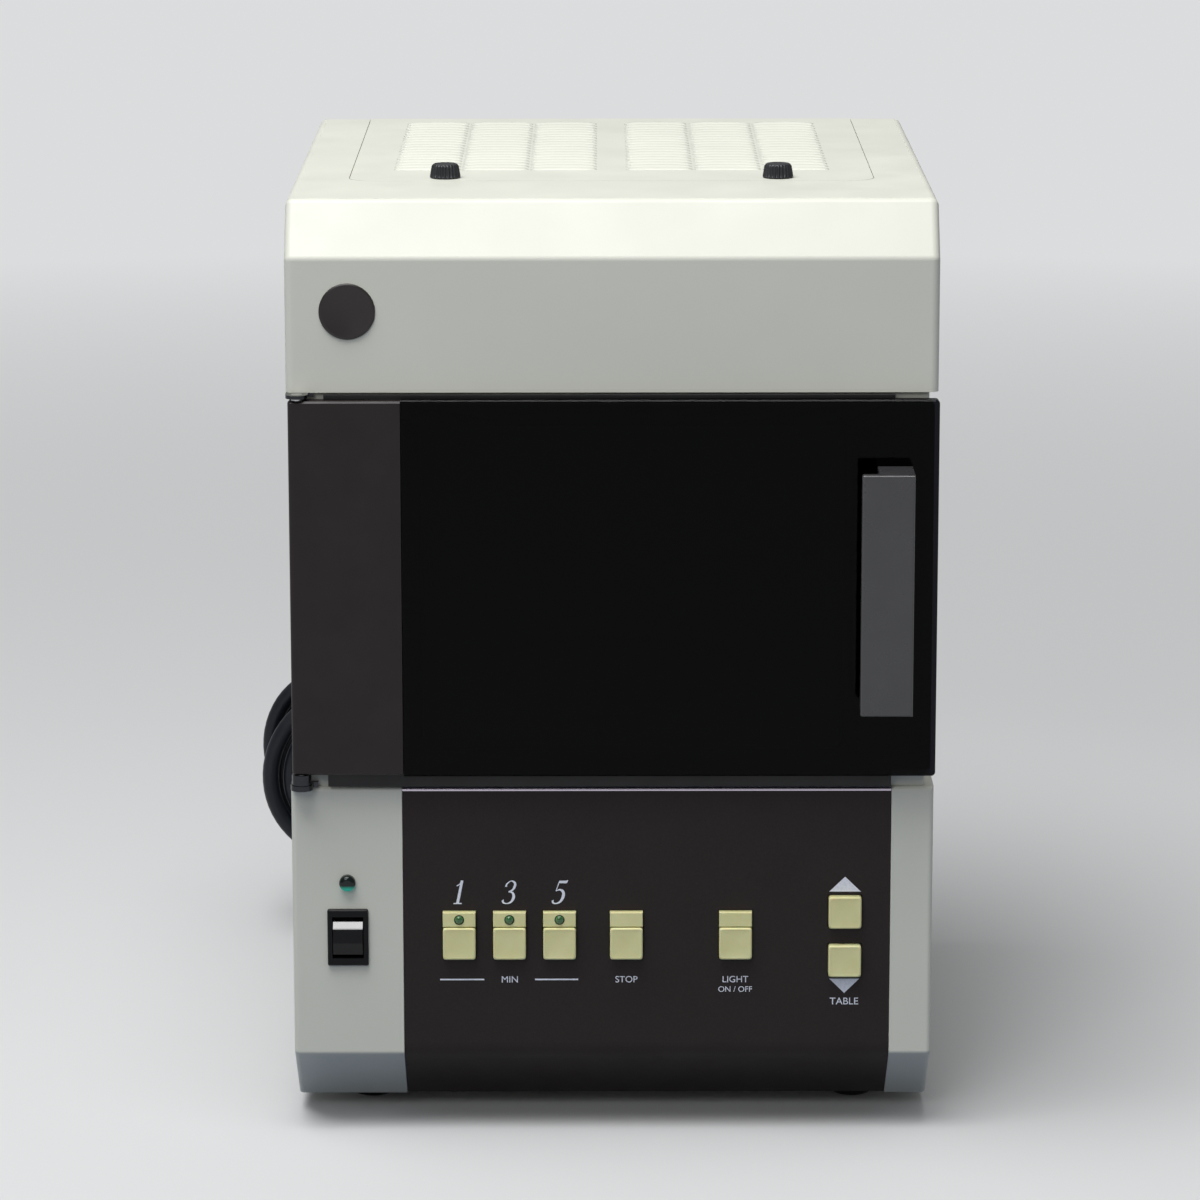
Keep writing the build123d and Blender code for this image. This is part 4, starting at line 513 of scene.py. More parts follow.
def polished_rocker():
    """Moulded nylon rocker, glossy where the thumb has polished its upper facet, which mirrors the light
    overhead, and dark below."""
    material = blank("rocker_gloss")
    low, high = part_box("power_rocker")
    facet = float(low[2] * 0.25 + high[2] * 0.75)
    where = node(material, "ShaderNodeTexCoord").outputs["Object"]
    height = node(material, "ShaderNodeSeparateXYZ", {0: where}).outputs["Z"]
    return shade(material, {
        "Base Color": linear("05060a"), "Roughness": ramp(material, (3, 4, 0.5), 0.12, 0.2), "IOR": 1.36,
        "Coat Weight": ramp(material, height, 0, 1, facet - 1.2 * MM, facet), "Coat Roughness": 0.06,
        "Coat IOR": 1.7,
    })


def print_ink(colour):
    """Screen-printed ink: thin, opaque and matt, with the mesh's slight unevenness."""
    return finish("screen_print_ink", (colour, times(colour, 0.85)), (0.7, 3, 0.5), (0.5, 0.65),
                  (0.5, 3, 0.5), IOR=1.45, Specular_IOR_Level=0.3)


def circuit_laminate():
    """Glass-epoxy board under green solder mask, with paler copper runs showing through it."""
    material = blank("circuit_laminate")
    where = node(material, "ShaderNodeTexCoord").outputs["Object"]
    upright = node(material, "ShaderNodeMapping", {"Vector": where, "Rotation": (pi / 2, 0, 0)}).outputs[0]
    runs = node(material, "ShaderNodeTexBrick", {
        "Vector": upright, "Scale": per_mm(14), "Mortar Size": 0.03, "Color1": linear("0e4a26"),
        "Color2": linear("10552b"), "Mortar": linear("2f7d44"),
    })
    return shade(material, {
        "Base Color": runs.outputs["Color"], "Roughness": ramp(material, (8, 4, 0.5), 0.25, 0.4), "IOR": 1.5,
        "Coat Weight": 0.3, "Coat Roughness": 0.2,
    })


def laminated_core():
    """Stack of silicon-steel laminations under black varnish, with fine lines where the sheets meet."""
    material = blank("laminated_core")
    bands = node(material, "ShaderNodeTexWave", {
        "Vector": node(material, "ShaderNodeTexCoord").outputs["Object"], "Scale": per_mm(1.4) / (2 * pi),
        "Distortion": 0.6,
    }, bands_direction="Y").outputs["Fac"]
    tone = node(material, "ShaderNodeMix", {
        0: ramp(material, bands, 0, 1, 0.2, 0.8), 6: linear("1d1d20"), 7: linear("3d3d42")}, data_type="RGBA")
    bump = node(material, "ShaderNodeBump", {"Height": bands, "Distance": 0.12 * MM, "Strength": 0.6})
    return shade(material, {
        "Base Color": tone.outputs[2], "Roughness": ramp(material, (6, 5, 0.5), 0.4, 0.6),
        "Normal": bump.outputs["Normal"], "Metallic": 0.6,
    })


def glazed_ceramic():
    """Steatite, pressed and glazed: warm white with a faint speckle."""
    return finish("glazed_ceramic", (linear("ddd6c4"), linear("a89d86")), (1.2, 4, 0.7, 0.0, 0.5, 0.6, 0.75),
                  (0.25, 0.4), (6, 4, 0.5), (0.8, 3, 0.5), 0.03, 0.3, IOR=1.54)


def dichroic_glass():
    """Pressed glass under a thin interference coating: bright, with violet and gold in it."""
    material = blank("dichroic_glass")
    edge = node(material, "ShaderNodeLayerWeight", {"Blend": 0.5}).outputs["Facing"]
    tone = node(material, "ShaderNodeMix", {
        0: edge, 6: linear("c9b7c4"), 7: linear("8a7fb0")}, data_type="RGBA")
    facets = node(material, "ShaderNodeTexVoronoi", {
        "Vector": node(material, "ShaderNodeTexCoord").outputs["Object"], "Scale": per_mm(3.2),
    }).outputs["Distance"]
    bump = node(material, "ShaderNodeBump", {"Height": facets, "Distance": 0.25 * MM, "Strength": 0.6})
    return shade(material, {
        "Base Color": tone.outputs[2], "Roughness": ramp(material, facets, 0.08, 0.2, 0, 0.7),
        "Normal": bump.outputs["Normal"], "Metallic": 0.55, "IOR": 1.5, "Coat Weight": 0.5,
        "Coat Roughness": 0.05,
    })


def studio_paper(settings):
    """Seamless backdrop paper, matt and pale: seen plainly it is pale and even far behind the object, and it
    throws only a dim, cool light back on the object."""
    material = blank("floor_paper")
    seen = seen_plainly(material)
    pale, bounce = tuple(settings.floor_colour), tuple(settings.bounce_colour)
    where = node(material, "ShaderNodeTexCoord").outputs["Object"]
    away = node(material, "ShaderNodeVectorMath", {0: where}, operation="LENGTH").outputs["Value"]
    beyond = ramp(material, away, 0, 1, 0.7, 2.6)
    distant = node(material, "ShaderNodeMath", {0: beyond, 1: seen}, operation="MULTIPLY").outputs[0]
    paper = node(material, "ShaderNodeMix", {0: seen, 6: bounce, 7: pale}, data_type="RGBA")
    tone = node(material, "ShaderNodeMix", {
        0: distant, 6: paper.outputs[2], 7: (0, 0, 0, 1)}, data_type="RGBA")
    level = node(material, "ShaderNodeMath", {0: distant, 1: settings.backdrop_level}, operation="MULTIPLY")
    return shade(material, {
        "Base Color": tone.outputs[2], "Roughness": 0.85, "Specular IOR Level": 0.2,
        "Emission Color": pale, "Emission Strength": level.outputs[0],
    })


# ---------------------------------------------------------------- cord
def half_turns(front, back, pitch, left, back_radius, step, first_y):
    """The coil's control points. Each half turn from one side to the other is a half circle on the
    chord between them; its eight points stand off the circle by 1 / cos(pi / 16), so that the curve that
    they pull touches it. Radii shrink by half a pitch each half turn and grow again in the next layer."""
    half = pitch / 2
    radii = [
        [left + half - half * i for i in range(4)],
        [left + half - half * (3 - i) for i in range(3)],
        [back_radius - half * i for i in range(3)],
        [back_radius - half * (2 - i) for i in range(3)],
    ]
    depths = (0, pitch, pitch + step, 2 * pitch + step)
    sides = []
    for number, (layer, depth) in enumerate(zip(radii, depths)):
        centre = front if number < 2 else back
        for radius in layer:
            way = 1 if len(sides) % 2 == 0 else -1
            sides.append(np.array([centre[0] + way * radius, first_y + depth, centre[1]]))
    off = 1 / cos(pi / 16)
    points = []
    for number, (here, there) in enumerate(zip(sides, sides[1:])):
        chord = there - here
        up = np.array([0, 0, 1.0 if number % 2 == 0 else -1.0]) * np.linalg.norm(chord) / 2
        last = number == len(sides) - 2
        angle = (np.arange(4 if last else 8) + 0.5) * pi / 8
        swing = np.sin(angle)[:, None] * up - np.cos(angle)[:, None] * chord / 2
        points.append((here + there) / 2 + off * swing)
    crown = (sides[-2] + sides[-1]) / 2 + up
    return np.vstack(points), crown, chord / np.linalg.norm(chord)


class CordOperator(bpy.types.Operator):
    """Lays the mains cord: down from its gland, round the coil on its hook, and on to the plug"""

    bl_idname = "curing_unit.cord"
    bl_label = "Mains cord"

    def execute(self, context):
        settings = context.scene.curing_cord
        first_y = FACE_Y + 325 * MM
        pitch = 10.6 * MM
        left = 43.75 * MM
        front = (-132 * MM, 84.5 * MM)
        back = (-136 * MM, 95 * MM)
        coil, crown, way = half_turns(front, back, pitch, left, 41 * MM, 16 * MM, first_y)
        start_x = front[0] + left + pitch / 2
        run = 39 * MM
        drop = run * sin(pi / 4)
        hang_z = front[1] - settings.diameter - run
        gland_x = start_x + run + 2 * drop
        hanging = [
            (gland_x, first_y, hang_z + run),
            (gland_x, first_y, hang_z),
            (gland_x - drop, first_y, hang_z - drop),
            (start_x + drop, first_y, hang_z - drop),
            (start_x, first_y, hang_z),
            (start_x, first_y, hang_z + run),
        ]
        end = crown + way * settings.diameter
        to_plug = [
            tuple(end),
            (-93 * MM, end[1], end[2]),
            (-63 * MM, FACE_Y + 361 * MM, 43 * MM),
            (-33 * MM, FACE_Y + 359 * MM, 20 * MM),
            (0, FACE_Y + 356 * MM, 6 * MM),
            (30 * MM, FACE_Y + 353 * MM, 9 * MM),
            (60 * MM, FACE_Y + 350 * MM, 9 * MM),
        ]
        route = np.vstack([hanging, coil, to_plug])
        curve = bpy.data.curves.new("mains_cord", "CURVE")
        curve.dimensions = "3D"
        spline = curve.splines.new("NURBS")
        spline.points.add(len(route) - 1)
        spline.points.foreach_set("co", np.hstack([route, np.ones((len(route), 1))]).ravel())
        spline.order_u = 3
        spline.use_endpoint_u = True
        spline.resolution_u = 4
        curve.bevel_depth = settings.diameter / 2
        curve.bevel_resolution = 5
        curve.materials.append(cord_sheath(tuple(settings.colour)))
        cord = bpy.data.objects.new("mains_cord", curve)
        context.scene.collection.objects.link(cord)
        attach(cord, "cabinet")
        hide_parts("power_cord", "cord_coil")
        dress(["plug_body"], satin_moulding("plug_moulding", "20242c", (0.42, 0.56)))
        dress(["plug_blades"], plain_metal("nickelled_brass", "c9bf9e", 0.22))
        dress(["cord_tie"], satin_moulding("nylon_tie", "161618", (0.35, 0.48), 0.8))
        dress(["cord_gland"], moulded_rubber("gland_rubber", "1a1a1c", 0.5))
        return {"FINISHED"}


# ---------------------------------------------------------------- shell, panel and legends
class ShellOperator(bpy.types.Operator):
    """Paints the ivory base, cabinet, cap, lid and back"""

    bl_idname = "curing_unit.shell"
    bl_label = "Painted shell"

    def execute(self, context):
        settings = context.scene.curing_shell
        paint = powder_coated_steel(tuple(settings.ivory), settings.paint_grain)
        dress(["base_housing", "cabinet_shell", "top_cap", "rear_panel", "top_lid"], paint)
        zinc = sheet_zinc()
        dress(["base_plate", "case_screws", "cord_hook", "lift_frame", "lid_nuts", "handle_screws"], zinc)
        # Painted reflection: the brackets' dark metal colour stands in for the dark surroundings that the
        # plated steel mirrors.
        dress(["hinge_brackets"], plain_metal("plated_steel_with_painted_dark_reflection", "3c3d41", 0.2))
        dress(["rubber_feet"], moulded_rubber("foot_rubber", "171717", 0.62))
        badge_face = satin_moulding("badge_moulding", "1c1516", (0.3, 0.42))
        radius = 12.5 * MM
        profile = [(0, 0.0), (radius - 0.8 * MM, 0.0), (radius, 0.0), (radius, 0.7 * MM),
                   (radius - 0.5 * MM, 1.2 * MM), (radius - 1.2 * MM, 1.0 * MM), (0, 1.0 * MM)]
        centre = (-117.3 * MM, FACE_Y + 0.05 * MM, 379.4 * MM)
        points, faces = spun(profile, centre, (0, -1, 0), 72)
        new_piece("blank_badge", points, faces, badge_face, "cabinet", slot="black_plastic")
        return {"FINISHED"}


def printed_words(name, text, x, z, height, ink):
    """A word as a thin printed mesh on the panel's face, centred on x with its foot at z."""
    curve = bpy.data.curves.new(name, "FONT")
    curve.body = text
    curve.align_x = "CENTER"
    draft = bpy.data.objects.new(name, curve)
    bpy.context.scene.collection.objects.link(draft)
    bpy.context.view_layer.update()
    mesh = bpy.data.meshes.new_from_object(draft)
    bpy.data.objects.remove(draft)
    points = np.empty(len(mesh.vertices) * 3)
    mesh.vertices.foreach_get("co", points)
    points = points.reshape(-1, 3)
    scale = height / np.ptp(points[:, 1])
    flat = np.stack(
        [points[:, 0] * scale + x, np.full(len(points), PANEL_Y - 0.04 * MM),
         (points[:, 1] - points[:, 1].min()) * scale + z], axis=-1
    )
    faces = [tuple(p.vertices) for p in mesh.polygons]
    return new_piece(name, flat, faces, ink, "cabinet", smooth=False, slot="brown_panel")


# Pen strokes of the serif numerals, ten units high: each row is x, height and the pen's width there.
NUMERALS = {
    "1": [
        [(-2.0, 7.7, 0.4), (-0.9, 8.2, 0.55), (-0.1, 9.0, 0.8), (0.35, 9.9, 0.9)],
        [(0.35, 10.0, 1.6), (0.35, 5.0, 1.65), (0.35, 0.4, 1.7)],
        [(-1.9, 0.25, 0.5), (0.35, 0.3, 0.6), (2.6, 0.25, 0.5)],
    ],
    "3": [
        [(-2.5, 7.3, 1.3), (-2.2, 8.6, 0.8), (-0.2, 9.75, 0.5), (1.9, 9.0, 1.1), (2.3, 7.5, 1.5),
         (1.3, 5.9, 1.0), (-0.6, 5.25, 0.4)],
        [(-0.6, 5.2, 0.4), (1.7, 4.8, 0.9), (2.9, 2.9, 1.75), (2.0, 1.0, 1.2), (0.0, 0.25, 0.5),
         (-2.1, 0.6, 0.8), (-2.9, 1.7, 1.35)],
    ],
    "5": [
        [(-1.4, 9.35, 1.15), (1.0, 9.35, 1.2), (2.7, 9.4, 1.15), (3.3, 10.1, 0.35)],
        [(-1.3, 9.4, 0.5), (-1.7, 7.4, 0.5), (-2.1, 5.5, 0.5)],
        [(-2.1, 5.5, 0.45), (-0.2, 6.1, 0.7), (1.9, 5.2, 1.35), (2.5, 3.2, 1.8), (1.5, 1.1, 1.25),
         (-0.6, 0.25, 0.55), (-2.4, 0.6, 0.85), (-2.9, 1.6, 1.3)],
    ],
}


def smooth_line(points, steps):
    """Points on a smooth line through the given rows. Between b and c, with neighbours a and d, they are
    b + u (c - a) / 2 + u^2 (2 a - 5 b + 4 c - d) / 2 + u^3 (3 b - a - 3 c + d) / 2, for u from 0 to 1."""
    rows = np.asarray(points, float)
    rows = np.vstack([2 * rows[0] - rows[1], rows, 2 * rows[-1] - rows[-2]])
    u = np.linspace(0, 1, steps, endpoint=False)[:, None]
    spans = [
        b + u * (c - a) / 2 + u**2 * (2 * a - 5 * b + 4 * c - d) / 2 + u**3 * (3 * b - a - 3 * c + d) / 2
        for a, b, c, d in zip(rows, rows[1:], rows[2:], rows[3:])
    ]
    return np.vstack(spans + [rows[-2:-1]])


def printed_number(name, digit, x, z, height, ink, slant, narrow):
    """A serif numeral in broad-pen strokes: ribs square to each smooth stroke, as long as the pen is wide,
    narrowed by a factor and leaned over by the slant."""
    parts = []
    for depth, stroke in enumerate(NUMERALS[digit]):
        line = smooth_line(stroke, 8)
        along = np.gradient(line[:, :2], axis=0)
        along /= np.linalg.norm(along, axis=1)[:, None]
        rib = np.stack([-along[:, 1], along[:, 0]], axis=-1) * line[:, 2:] * 0.46
        edges = np.stack([line[:, :2] + rib, line[:, :2] - rib], axis=1) * height / 10
        across = x + narrow * edges[..., 0] + slant * (edges[..., 1] - height / 2)
        level = np.full_like(across, PANEL_Y - (0.04 + 0.01 * depth) * MM)
        grid = np.stack([across, level, edges[..., 1] + z], axis=-1)
        parts.append((grid.reshape(-1, 3), grid_faces(len(line), 2, wrap_columns=False)))
    points, faces = joined(*parts)
    return new_piece(name, points, faces, ink, "cabinet", smooth=False, slot="brown_panel")


def printed_shape(name, outline, ink):
    """A flat printed mark on the panel's face from its outline of (x, z) points."""
    flat = [(x, PANEL_Y - 0.04 * MM, z) for x, z in outline]
    return new_piece(name, flat, [tuple(range(len(flat)))], ink, "cabinet", smooth=False, slot="brown_panel")


class FasciaOperator(bpy.types.Operator):
    """Finishes the brown control panel and prints its numbers and marks"""

    bl_idname = "curing_unit.fascia"
    bl_label = "Control panel"

    def execute(self, context):
        settings = context.scene.curing_shell
        dress(["control_panel"], panel_film(tuple(settings.panel_brown)))
        ink = print_ink(tuple(settings.print_colour))
        number_z, number_height = 107.7 * MM, 11.1 * MM
        for number, x in (("1", -69.5), ("3", -46.7), ("5", -24.0)):
            printed_number(f"number_{number}", number, x * MM, number_z, number_height, ink, 0.2, 0.74)
        rule_z, rule_top = 71.8 * MM, 72.5 * MM
        for side, start, end in (("left", -78.4, -58.3), ("right", -35.2, -15.6)):
            x0, x1 = start * MM, end * MM
            printed_shape(f"rule_{side}", [(x0, rule_z), (x1, rule_z), (x1, rule_top), (x0, rule_top)], ink)
        # Each word with its middle, how far its foot is below the rules, and its height.
        for name, text, x, drop, height in (
            ("minutes", "MIN", -46.7, 1.1, 3.0),
            ("stop", "STOP", 6.3, 1.1, 3.0),
            ("light", "LIGHT", 55.8, 1.1, 3.0),
            ("on_off", "ON / OFF", 55.8, 5.6, 2.6),
            ("table", "TABLE", 105.4, 11.6, 3.2),
        ):
            printed_words(f"word_{name}", text, x * MM, rule_z - drop * MM, height * MM, ink)
        for name, corners in (
            ("mark_up", [(98.2, 113.4), (112.6, 113.4), (105.4, 120.4)]),
            ("mark_down", [(98.6, 72.4), (105.4, 65.6), (112.2, 72.4)]),
        ):
            printed_shape(name, [(x * MM, z * MM) for x, z in corners], ink)
        return {"FINISHED"}


# ---------------------------------------------------------------- keys and switch
def key_profile(depth, round_over, dish):
    """Profile of a moulded cap from the middle of its face round to the middle of its back: a slightly
    dished face, a raised lip, a rounded shoulder and a straight side. Pairs of (inset, height)."""
    lip = 1.1 * MM
    face = [(1.0, -dish), (lip + 0.5 * MM, -dish), (lip, -dish * 0.55)]
    shoulder = [
        (round_over * (1 - sin(a)), -round_over * (1 - cos(a))) for a in np.linspace(0, pi / 2, 7)
    ]
    back = [(0.0, -depth), (1.0, -depth)]
    return list(reversed(face + shoulder + back))


class KeysOperator(bpy.types.Operator):
    """Moulds the seven keys and the lamp blocks above five of them"""

    bl_idname = "curing_unit.keys"
    bl_label = "Keys"

    def execute(self, context):
        settings = context.scene.curing_keys
        butter = key_moulding(tuple(settings.cap_colour))
        names = ["key_start_1", "key_start_3", "key_start_5", "key_stop", "key_sub_light", "key_table_up",
                 "key_table_down"]
        stem_half, stem_start, stem_end = 2 * MM, -11 * MM, -16.4 * MM
        for name in names:
            low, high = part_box(name)
            centre = ((low[0] + high[0]) / 2, low[1], (low[2] + high[2]) / 2)
            half = (high[0] - low[0]) / 2
            cap = squarish(key_profile(11.4 * MM, 0.8 * MM, 0.12 * MM), half, half, centre,
                           (1, 0, 0), (0, 0, 1), settings.corner, 96)
            stem = squarish([(1.0, stem_end), (0, stem_end), (0, stem_start), (1.0, stem_start)],
                            stem_half, stem_half, centre, (1, 0, 0), (0, 0, 1), 12, 16)
            points, faces = joined(cap, stem)
            new_piece(name + "_cap", points, faces, butter, name, slot="key_yellow", replaces=[name])
        dress(["key_led_blocks"], butter)
        lens = led_lens()
        rim_black = satin_moulding("led_collar", "060806", (0.35, 0.45), shine=0.3)
        low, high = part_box("key_leds")
        block_face = float(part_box("key_led_blocks")[0][1])
        middle_z = (low[2] + high[2]) / 2
        # Pairs of radius and height off the block, in millimetres: a domed bead and the collar round it.
        bead_radius, crown, sunk, foot = 1.9, 1.25, 0.1, -5.0
        dome = [(bead_radius * cos(a), crown * sin(a) - sunk) for a in np.linspace(0, pi / 2, 9)]
        bead = np.array([(0, foot), (bead_radius, foot)] + dome[:-1] + [(0, crown - sunk)]) * MM
        collar = np.array([(1.92, -0.6), (2.22, -0.6), (2.26, 0.1), (2.18, 0.22), (1.98, 0.16)]) * MM
        inset = 1.95 * MM
        seats = [(x, block_face, middle_z) for x in (low[0] + inset, (low[0] + high[0]) / 2, high[0] - inset)]
        lenses = [spun(bead, seat, (0, -1, 0), 40) for seat in seats]
        collars = [ring(collar, seat, (0, -1, 0), 40) for seat in seats]
        new_piece("led_lenses", *joined(*lenses), lens, "cabinet", slot="led_green", replaces=["key_leds"])
        new_piece("led_collars", *joined(*collars), rim_black, "cabinet", slot="led_green")
        dress(["control_board"], circuit_laminate())
        return {"FINISHED"}


class SwitchOperator(bpy.types.Operator):
    """Finishes the mains rocker switch and the round panel lamp"""

    bl_idname = "curing_unit.switch"
    bl_label = "Mains switch and lamp"

    def execute(self, context):
        dress(["rocker_bezel"], satin_moulding("bezel_moulding", "07080b", (0.3, 0.42), shine=0.16))
        dress(["power_rocker"], polished_rocker())
        dress(["pilot_lamp"], lit_lens())
        return {"FINISHED"}


# ---------------------------------------------------------------- door
class DoorOperator(bpy.types.Operator):
    """Finishes the smoked door, its hinge strip, frame, seal and handle"""

    bl_idname = "curing_unit.door"
    bl_label = "Door"

    def execute(self, context):
        settings = context.scene.curing_door
        dress(["door_window"], smoked_acrylic(tuple(settings.smoke)))
        dress(["door_hinge_strip"], satin_moulding("hinge_strip_brown", "1c1616", (0.32, 0.44), 0.5, 0.3))
        # The frame is near black; where it shows above and below the window it stands in for the shade in the
        # gaps there, as painted shade.
        dress(["door_frame"], satin_moulding("black_frame_and_gap_shade", "101012", (0.35, 0.5), shine=0.35))
        dress(["door_gasket"], foam())
        grip = satin_moulding("handle_moulding", tuple(settings.handle_colour), (0.24, 0.34), shine=0.75)
        dress(["door_handle"], grip)
        dress(["hinge_pins"], plain_metal("ground_steel", "c4c6c8", 0.18))
        dress(["magnet_catch"], satin_moulding("catch_moulding", "1a1a1a"))
        return {"FINISHED"}


# ---------------------------------------------------------------- lid screws
def outward(points, faces):
    """The closed shell with its faces turned outwards, which its volume's sign tells."""
    points = np.asarray(points, float)
    volume = 0.0
    for face in faces:
        a = points[face[0]]
        for j, k in zip(face[1:], face[2:]):
            volume += np.dot(a, np.cross(points[j], points[k]))
    return points, faces if volume > 0 else [tuple(reversed(face)) for face in faces]


def louvre_lip(x, y, z, length, reach, rise, sheet):
    """One pressed lip over a slot: along u from -1 to 1 and back over the slot along t from 0 to 1, its
    top stands rise * sin(t * 88 degrees) * (1 - |u|^6) off the lid, and its underside a sheet's thickness
    less."""
    u = np.linspace(-1, 1, 15)
    t = np.linspace(0, 1, 7)
    swell = (1 - np.abs(u) ** 6)[:, None]
    top = rise * np.sin(t * radians(88)) * swell
    under = np.maximum(top - sheet, -0.1 * MM)
    depth = y + reach * t * np.ones_like(swell)
    loop_y = np.hstack([depth, depth[:, ::-1]])
    loop_z = z + np.hstack([top, under[:, ::-1]])
    loop_x = np.repeat(x + u[:, None] * length / 2, loop_y.shape[1], axis=1)
    points = np.stack([loop_x, loop_y, loop_z], axis=-1)
    count = points.shape[1]
    faces = grid_faces(len(u), count)
    last = (len(u) - 1) * count
    faces += [tuple(range(count - 1, -1, -1)), tuple(range(last, last + count))]
    return outward(points.reshape(-1, 3), faces)


class LidOperator(bpy.types.Operator):
    """Turns the two knurled thumb screws of the lid and presses the lips of its louvres"""

    bl_idname = "curing_unit.lid"
    bl_label = "Lid screws"

    def execute(self, context):
        dark = satin_moulding("thumb_screw_moulding", "1a1c20", (0.3, 0.42))
        for name in ("thumb_screw_left", "thumb_screw_right"):
            low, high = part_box(name)
            radius = (high[0] - low[0]) / 2
            axis = ((low[0] + high[0]) / 2, (low[1] + high[1]) / 2)
            tip, top = float(low[2]), float(high[2])
            foot = top - 6.5 * MM
            # Rows of radius, height and depth of the grooves there: the shank, the head's foot, its
            # knurled side and its rounded top.
            shank = 1.95 * MM
            rows = [(0, tip, 0), (shank - 0.4 * MM, tip, 0), (shank, tip + 0.5 * MM, 0), (shank, foot, 0),
                    (radius - 0.9 * MM, foot, 0), (radius - 0.1 * MM, foot + 0.5 * MM, 0.05 * MM)]
            rows += [(radius - 0.16 * h * MM, foot + h * MM, 0.6 * MM) for h in (0.8, 2.2, 3.6, 5.0, 5.4)]
            rows += [(radius - 1.4 * MM, top - 0.35 * MM, 0.1 * MM), (radius - 2.0 * MM, top, 0),
                     (radius - 2.8 * MM, top - 0.25 * MM, 0), (0, top - 0.35 * MM, 0)]
            rows = np.array(rows, float)
            turn = np.linspace(0, 2 * pi, 180, endpoint=False)
            grooves = 24
            groove = 0.5 - 0.5 * np.cos(grooves * turn)
            reach = rows[:, :1] - rows[:, 2:] * groove
            grid = np.stack(
                [axis[0] + reach * np.cos(turn), axis[1] + reach * np.sin(turn),
                 np.repeat(rows[:, 1:2], len(turn), axis=1)], axis=-1
            )
            points, faces = shell(grid)
            new_piece(name + "_knurled", points, faces, dark, name, slot="black_plastic", replaces=[name])
        # Two banks of slots, which a lip starts a little in front of and covers past both ends.
        inner, outer, columns, rib = 6.4 * MM, 101.0 * MM, 3, 2.0 * MM
        first_slot, slot_pitch, slot_rows = 117.0 * MM, 9.6 * MM, 19
        ahead, past_ends = 1.9 * MM, 1.2 * MM
        column_pitch = (outer - inner) / columns
        first_lip = FACE_Y + first_slot - ahead
        lips = [
            louvre_lip(
                side * (inner + (column + 0.5) * column_pitch), first_lip + slot_pitch * row, LID_TOP,
                column_pitch - rib + past_ends, reach=3.7 * MM, rise=0.9 * MM, sheet=0.45 * MM,
            )
            for side in (-1, 1) for column in range(columns) for row in range(slot_rows)
        ]
        points, faces = joined(*lips)
        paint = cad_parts["top_lid"].data.materials[0]
        new_piece("louvre_lips", points, faces, paint, "lid", slot="ivory_shell")
        return {"FINISHED"}


# ---------------------------------------------------------------- inside and back
class ChamberOperator(bpy.types.Operator):
    """Finishes the curing chamber, its lamps and the turntable"""

    bl_idname = "curing_unit.chamber"
    bl_label = "Curing chamber"

    def execute(self, context):
        dress(["chamber_liner", "reflector_roof"], hammered_reflector())
        dress(["halogen_lamps"], dichroic_glass())
        dress(["lamp_sockets"], glazed_ceramic())
        low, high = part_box("turntable")
        radius, top = (high[0] - low[0]) / 2, float(high[2])
        # Rows of radius and height: the underside, the rounded edge, the rim, and the well with its grooves.
        underside, well, groove_floor, groove_half = low[2], top - 1.1 * MM, top - 1.6 * MM, 0.9
        rows = [(0, underside), (radius - 1.2 * MM, underside), (radius, underside + 1.2 * MM),
                (radius, top - 1.0 * MM), (radius - 1.0 * MM, top), (radius - 3.0 * MM, top),
                (radius - 4.2 * MM, well)]
        for middle in (48.0, 36.0, 24.0, 12.0):
            rows += [((middle + groove_half) * MM, well), (middle * MM, groove_floor),
                     ((middle - groove_half) * MM, well)]
        rows.append((0, well))
        centre = ((low[0] + high[0]) / 2, (low[1] + high[1]) / 2, 0)
        points, faces = spun(rows, centre, (0, 0, 1), 120)
        new_piece("turntable_spun", points, faces, plain_metal("spun_aluminium", "c8cacc", 0.3), "turntable",
                  slot="turntable_metal", replaces=["turntable"])
        return {"FINISHED"}


class WorksOperator(bpy.types.Operator):
    """Finishes the lift, its gears and motors, the transformer and the fan"""

    bl_idname = "curing_unit.works"
    bl_label = "Works"

    def execute(self, context):
        dress(["turntable_spindle", "guide_rods"], plain_metal("ground_steel_rod", "c4c6c8", 0.16))
        dress(["lift_rack", "lift_pinion", "spin_pinion"], plain_metal("machined_brass", "c8a24e", 0.26))
        dress(["spindle_gear", "lift_carriage"], satin_moulding("acetal", "dedcd2", (0.35, 0.48), 0.6))
        dress(["spin_motor", "lift_motor"], plain_metal("motor_can", "9fa3a6", 0.32))
        dress(["lamp_transformer"], laminated_core())
        dress(["fan_frame", "fan_rotor"], satin_moulding("fan_moulding", "18181a", (0.4, 0.52), 0.5))
        dress(["fuse_holder"], satin_moulding("fuse_moulding", "121214", (0.3, 0.42)))
        return {"FINISHED"}


# ---------------------------------------------------------------- stage
def aim(at, target):
    return (Vector(target) - Vector(at)).to_track_quat("-Z", "Y").to_matrix().to_4x4()


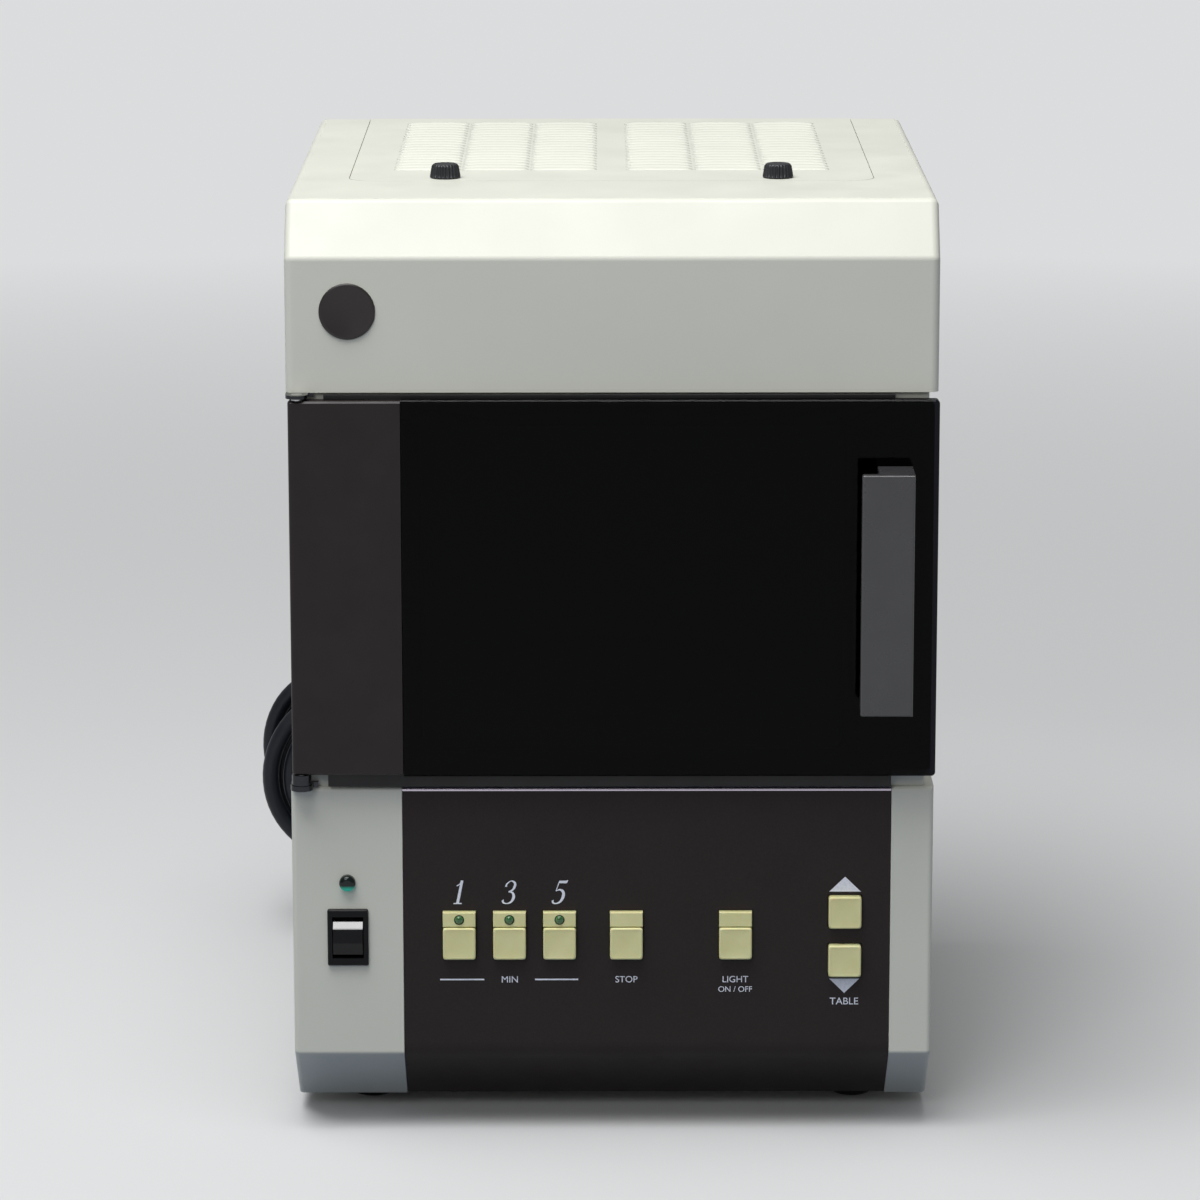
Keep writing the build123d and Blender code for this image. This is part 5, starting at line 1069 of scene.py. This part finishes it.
class StageOperator(bpy.types.Operator):
    """Sets the floor, the soft light and the camera of the photograph"""

    bl_idname = "curing_unit.stage"
    bl_label = "Studio"

    def execute(self, context):
        settings = context.scene.curing_stage
        scene = context.scene
        scene.view_settings.view_transform = "Standard"
        camera_data = bpy.data.cameras.new("camera")
        camera_data.sensor_width = 36.0
        camera_data.lens = settings.lens
        camera_data.clip_start = 0.05
        camera_data.clip_end = 60
        camera = bpy.data.objects.new("camera", camera_data)
        scene.collection.objects.link(camera)
        pitch, roll = radians(12.26), radians(-0.06)
        where = Matrix.Translation((-5.5 * MM, FACE_Y - 2.219, 0.731))
        camera.matrix_world = where @ Matrix.Rotation(pi / 2 - pitch, 4, "X") @ Matrix.Rotation(roll, 4, "Z")
        scene.camera = camera

        far = 14.0
        floor_mesh = bpy.data.meshes.new("floor")
        corners = [(-far, -far, 0), (far, -far, 0), (far, far, 0), (-far, far, 0)]
        floor_mesh.from_pydata(corners, [], [(0, 1, 2, 3)])
        floor_mesh.materials.append(studio_paper(settings))
        floor = bpy.data.objects.new("floor", floor_mesh)
        scene.collection.objects.link(floor)

        middle = (0, 0, 0.25)
        for name, at, size, power in (
            ("overhead_softbox", (-0.5, -0.72, 2.6), 1.8, settings.overhead_power),
            ("front_fill", (-1.0, -3.0, 1.95), 1.2, settings.front_power),
        ):
            lamp = bpy.data.lights.new(name, "AREA")
            lamp.shape = "SQUARE"
            lamp.size = size
            lamp.energy = power
            holder = bpy.data.objects.new(name, lamp)
            holder.matrix_world = Matrix.Translation(at) @ aim(at, middle)
            scene.collection.objects.link(holder)

        world = bpy.data.worlds.new("room")
        world.use_nodes = True
        tree = world.node_tree
        tree.nodes.clear()
        sky = tree.nodes.new("ShaderNodeBackground")
        sky.inputs["Color"].default_value = (1, 1, 1, 1)
        sky.inputs["Strength"].default_value = settings.sky_strength
        out = tree.nodes.new("ShaderNodeOutputWorld")
        tree.links.new(sky.outputs[0], out.inputs[0])
        scene.world = world
        return {"FINISHED"}


class CuringUnitPanel(bpy.types.Panel):
    """Lists what the add-on makes, in order"""

    bl_idname = "VIEW3D_PT_curing_unit"
    bl_label = "Curing unit"
    bl_space_type = "VIEW_3D"
    bl_region_type = "UI"
    bl_category = "Curing Unit"

    def draw(self, context):
        for operator in OPERATORS:
            self.layout.operator(operator.bl_idname)


SETTINGS = {
    "curing_stage": StageSettings,
    "curing_cord": CordSettings,
    "curing_shell": ShellSettings,
    "curing_keys": KeySettings,
    "curing_door": DoorSettings,
}
OPERATORS = [StageOperator, CordOperator, ShellOperator, FasciaOperator, KeysOperator, SwitchOperator,
             DoorOperator, LidOperator, ChamberOperator, WorksOperator]


def register():
    for name, group in SETTINGS.items():
        bpy.utils.register_class(group)
        setattr(bpy.types.Scene, name, bpy.props.PointerProperty(type=group))
    for operator in OPERATORS:
        bpy.utils.register_class(operator)
    bpy.utils.register_class(CuringUnitPanel)


def unregister():
    bpy.utils.unregister_class(CuringUnitPanel)
    for operator in reversed(OPERATORS):
        bpy.utils.unregister_class(operator)
    for name, group in reversed(SETTINGS.items()):
        delattr(bpy.types.Scene, name)
        bpy.utils.unregister_class(group)


def main():
    register()
    bpy.ops.curing_unit.stage()
    bpy.ops.curing_unit.cord()
    bpy.ops.curing_unit.shell()
    bpy.ops.curing_unit.fascia()
    bpy.ops.curing_unit.keys()
    bpy.ops.curing_unit.switch()
    bpy.ops.curing_unit.door()
    bpy.ops.curing_unit.lid()
    bpy.ops.curing_unit.chamber()
    bpy.ops.curing_unit.works()


if __name__ == "__main__":
    main()
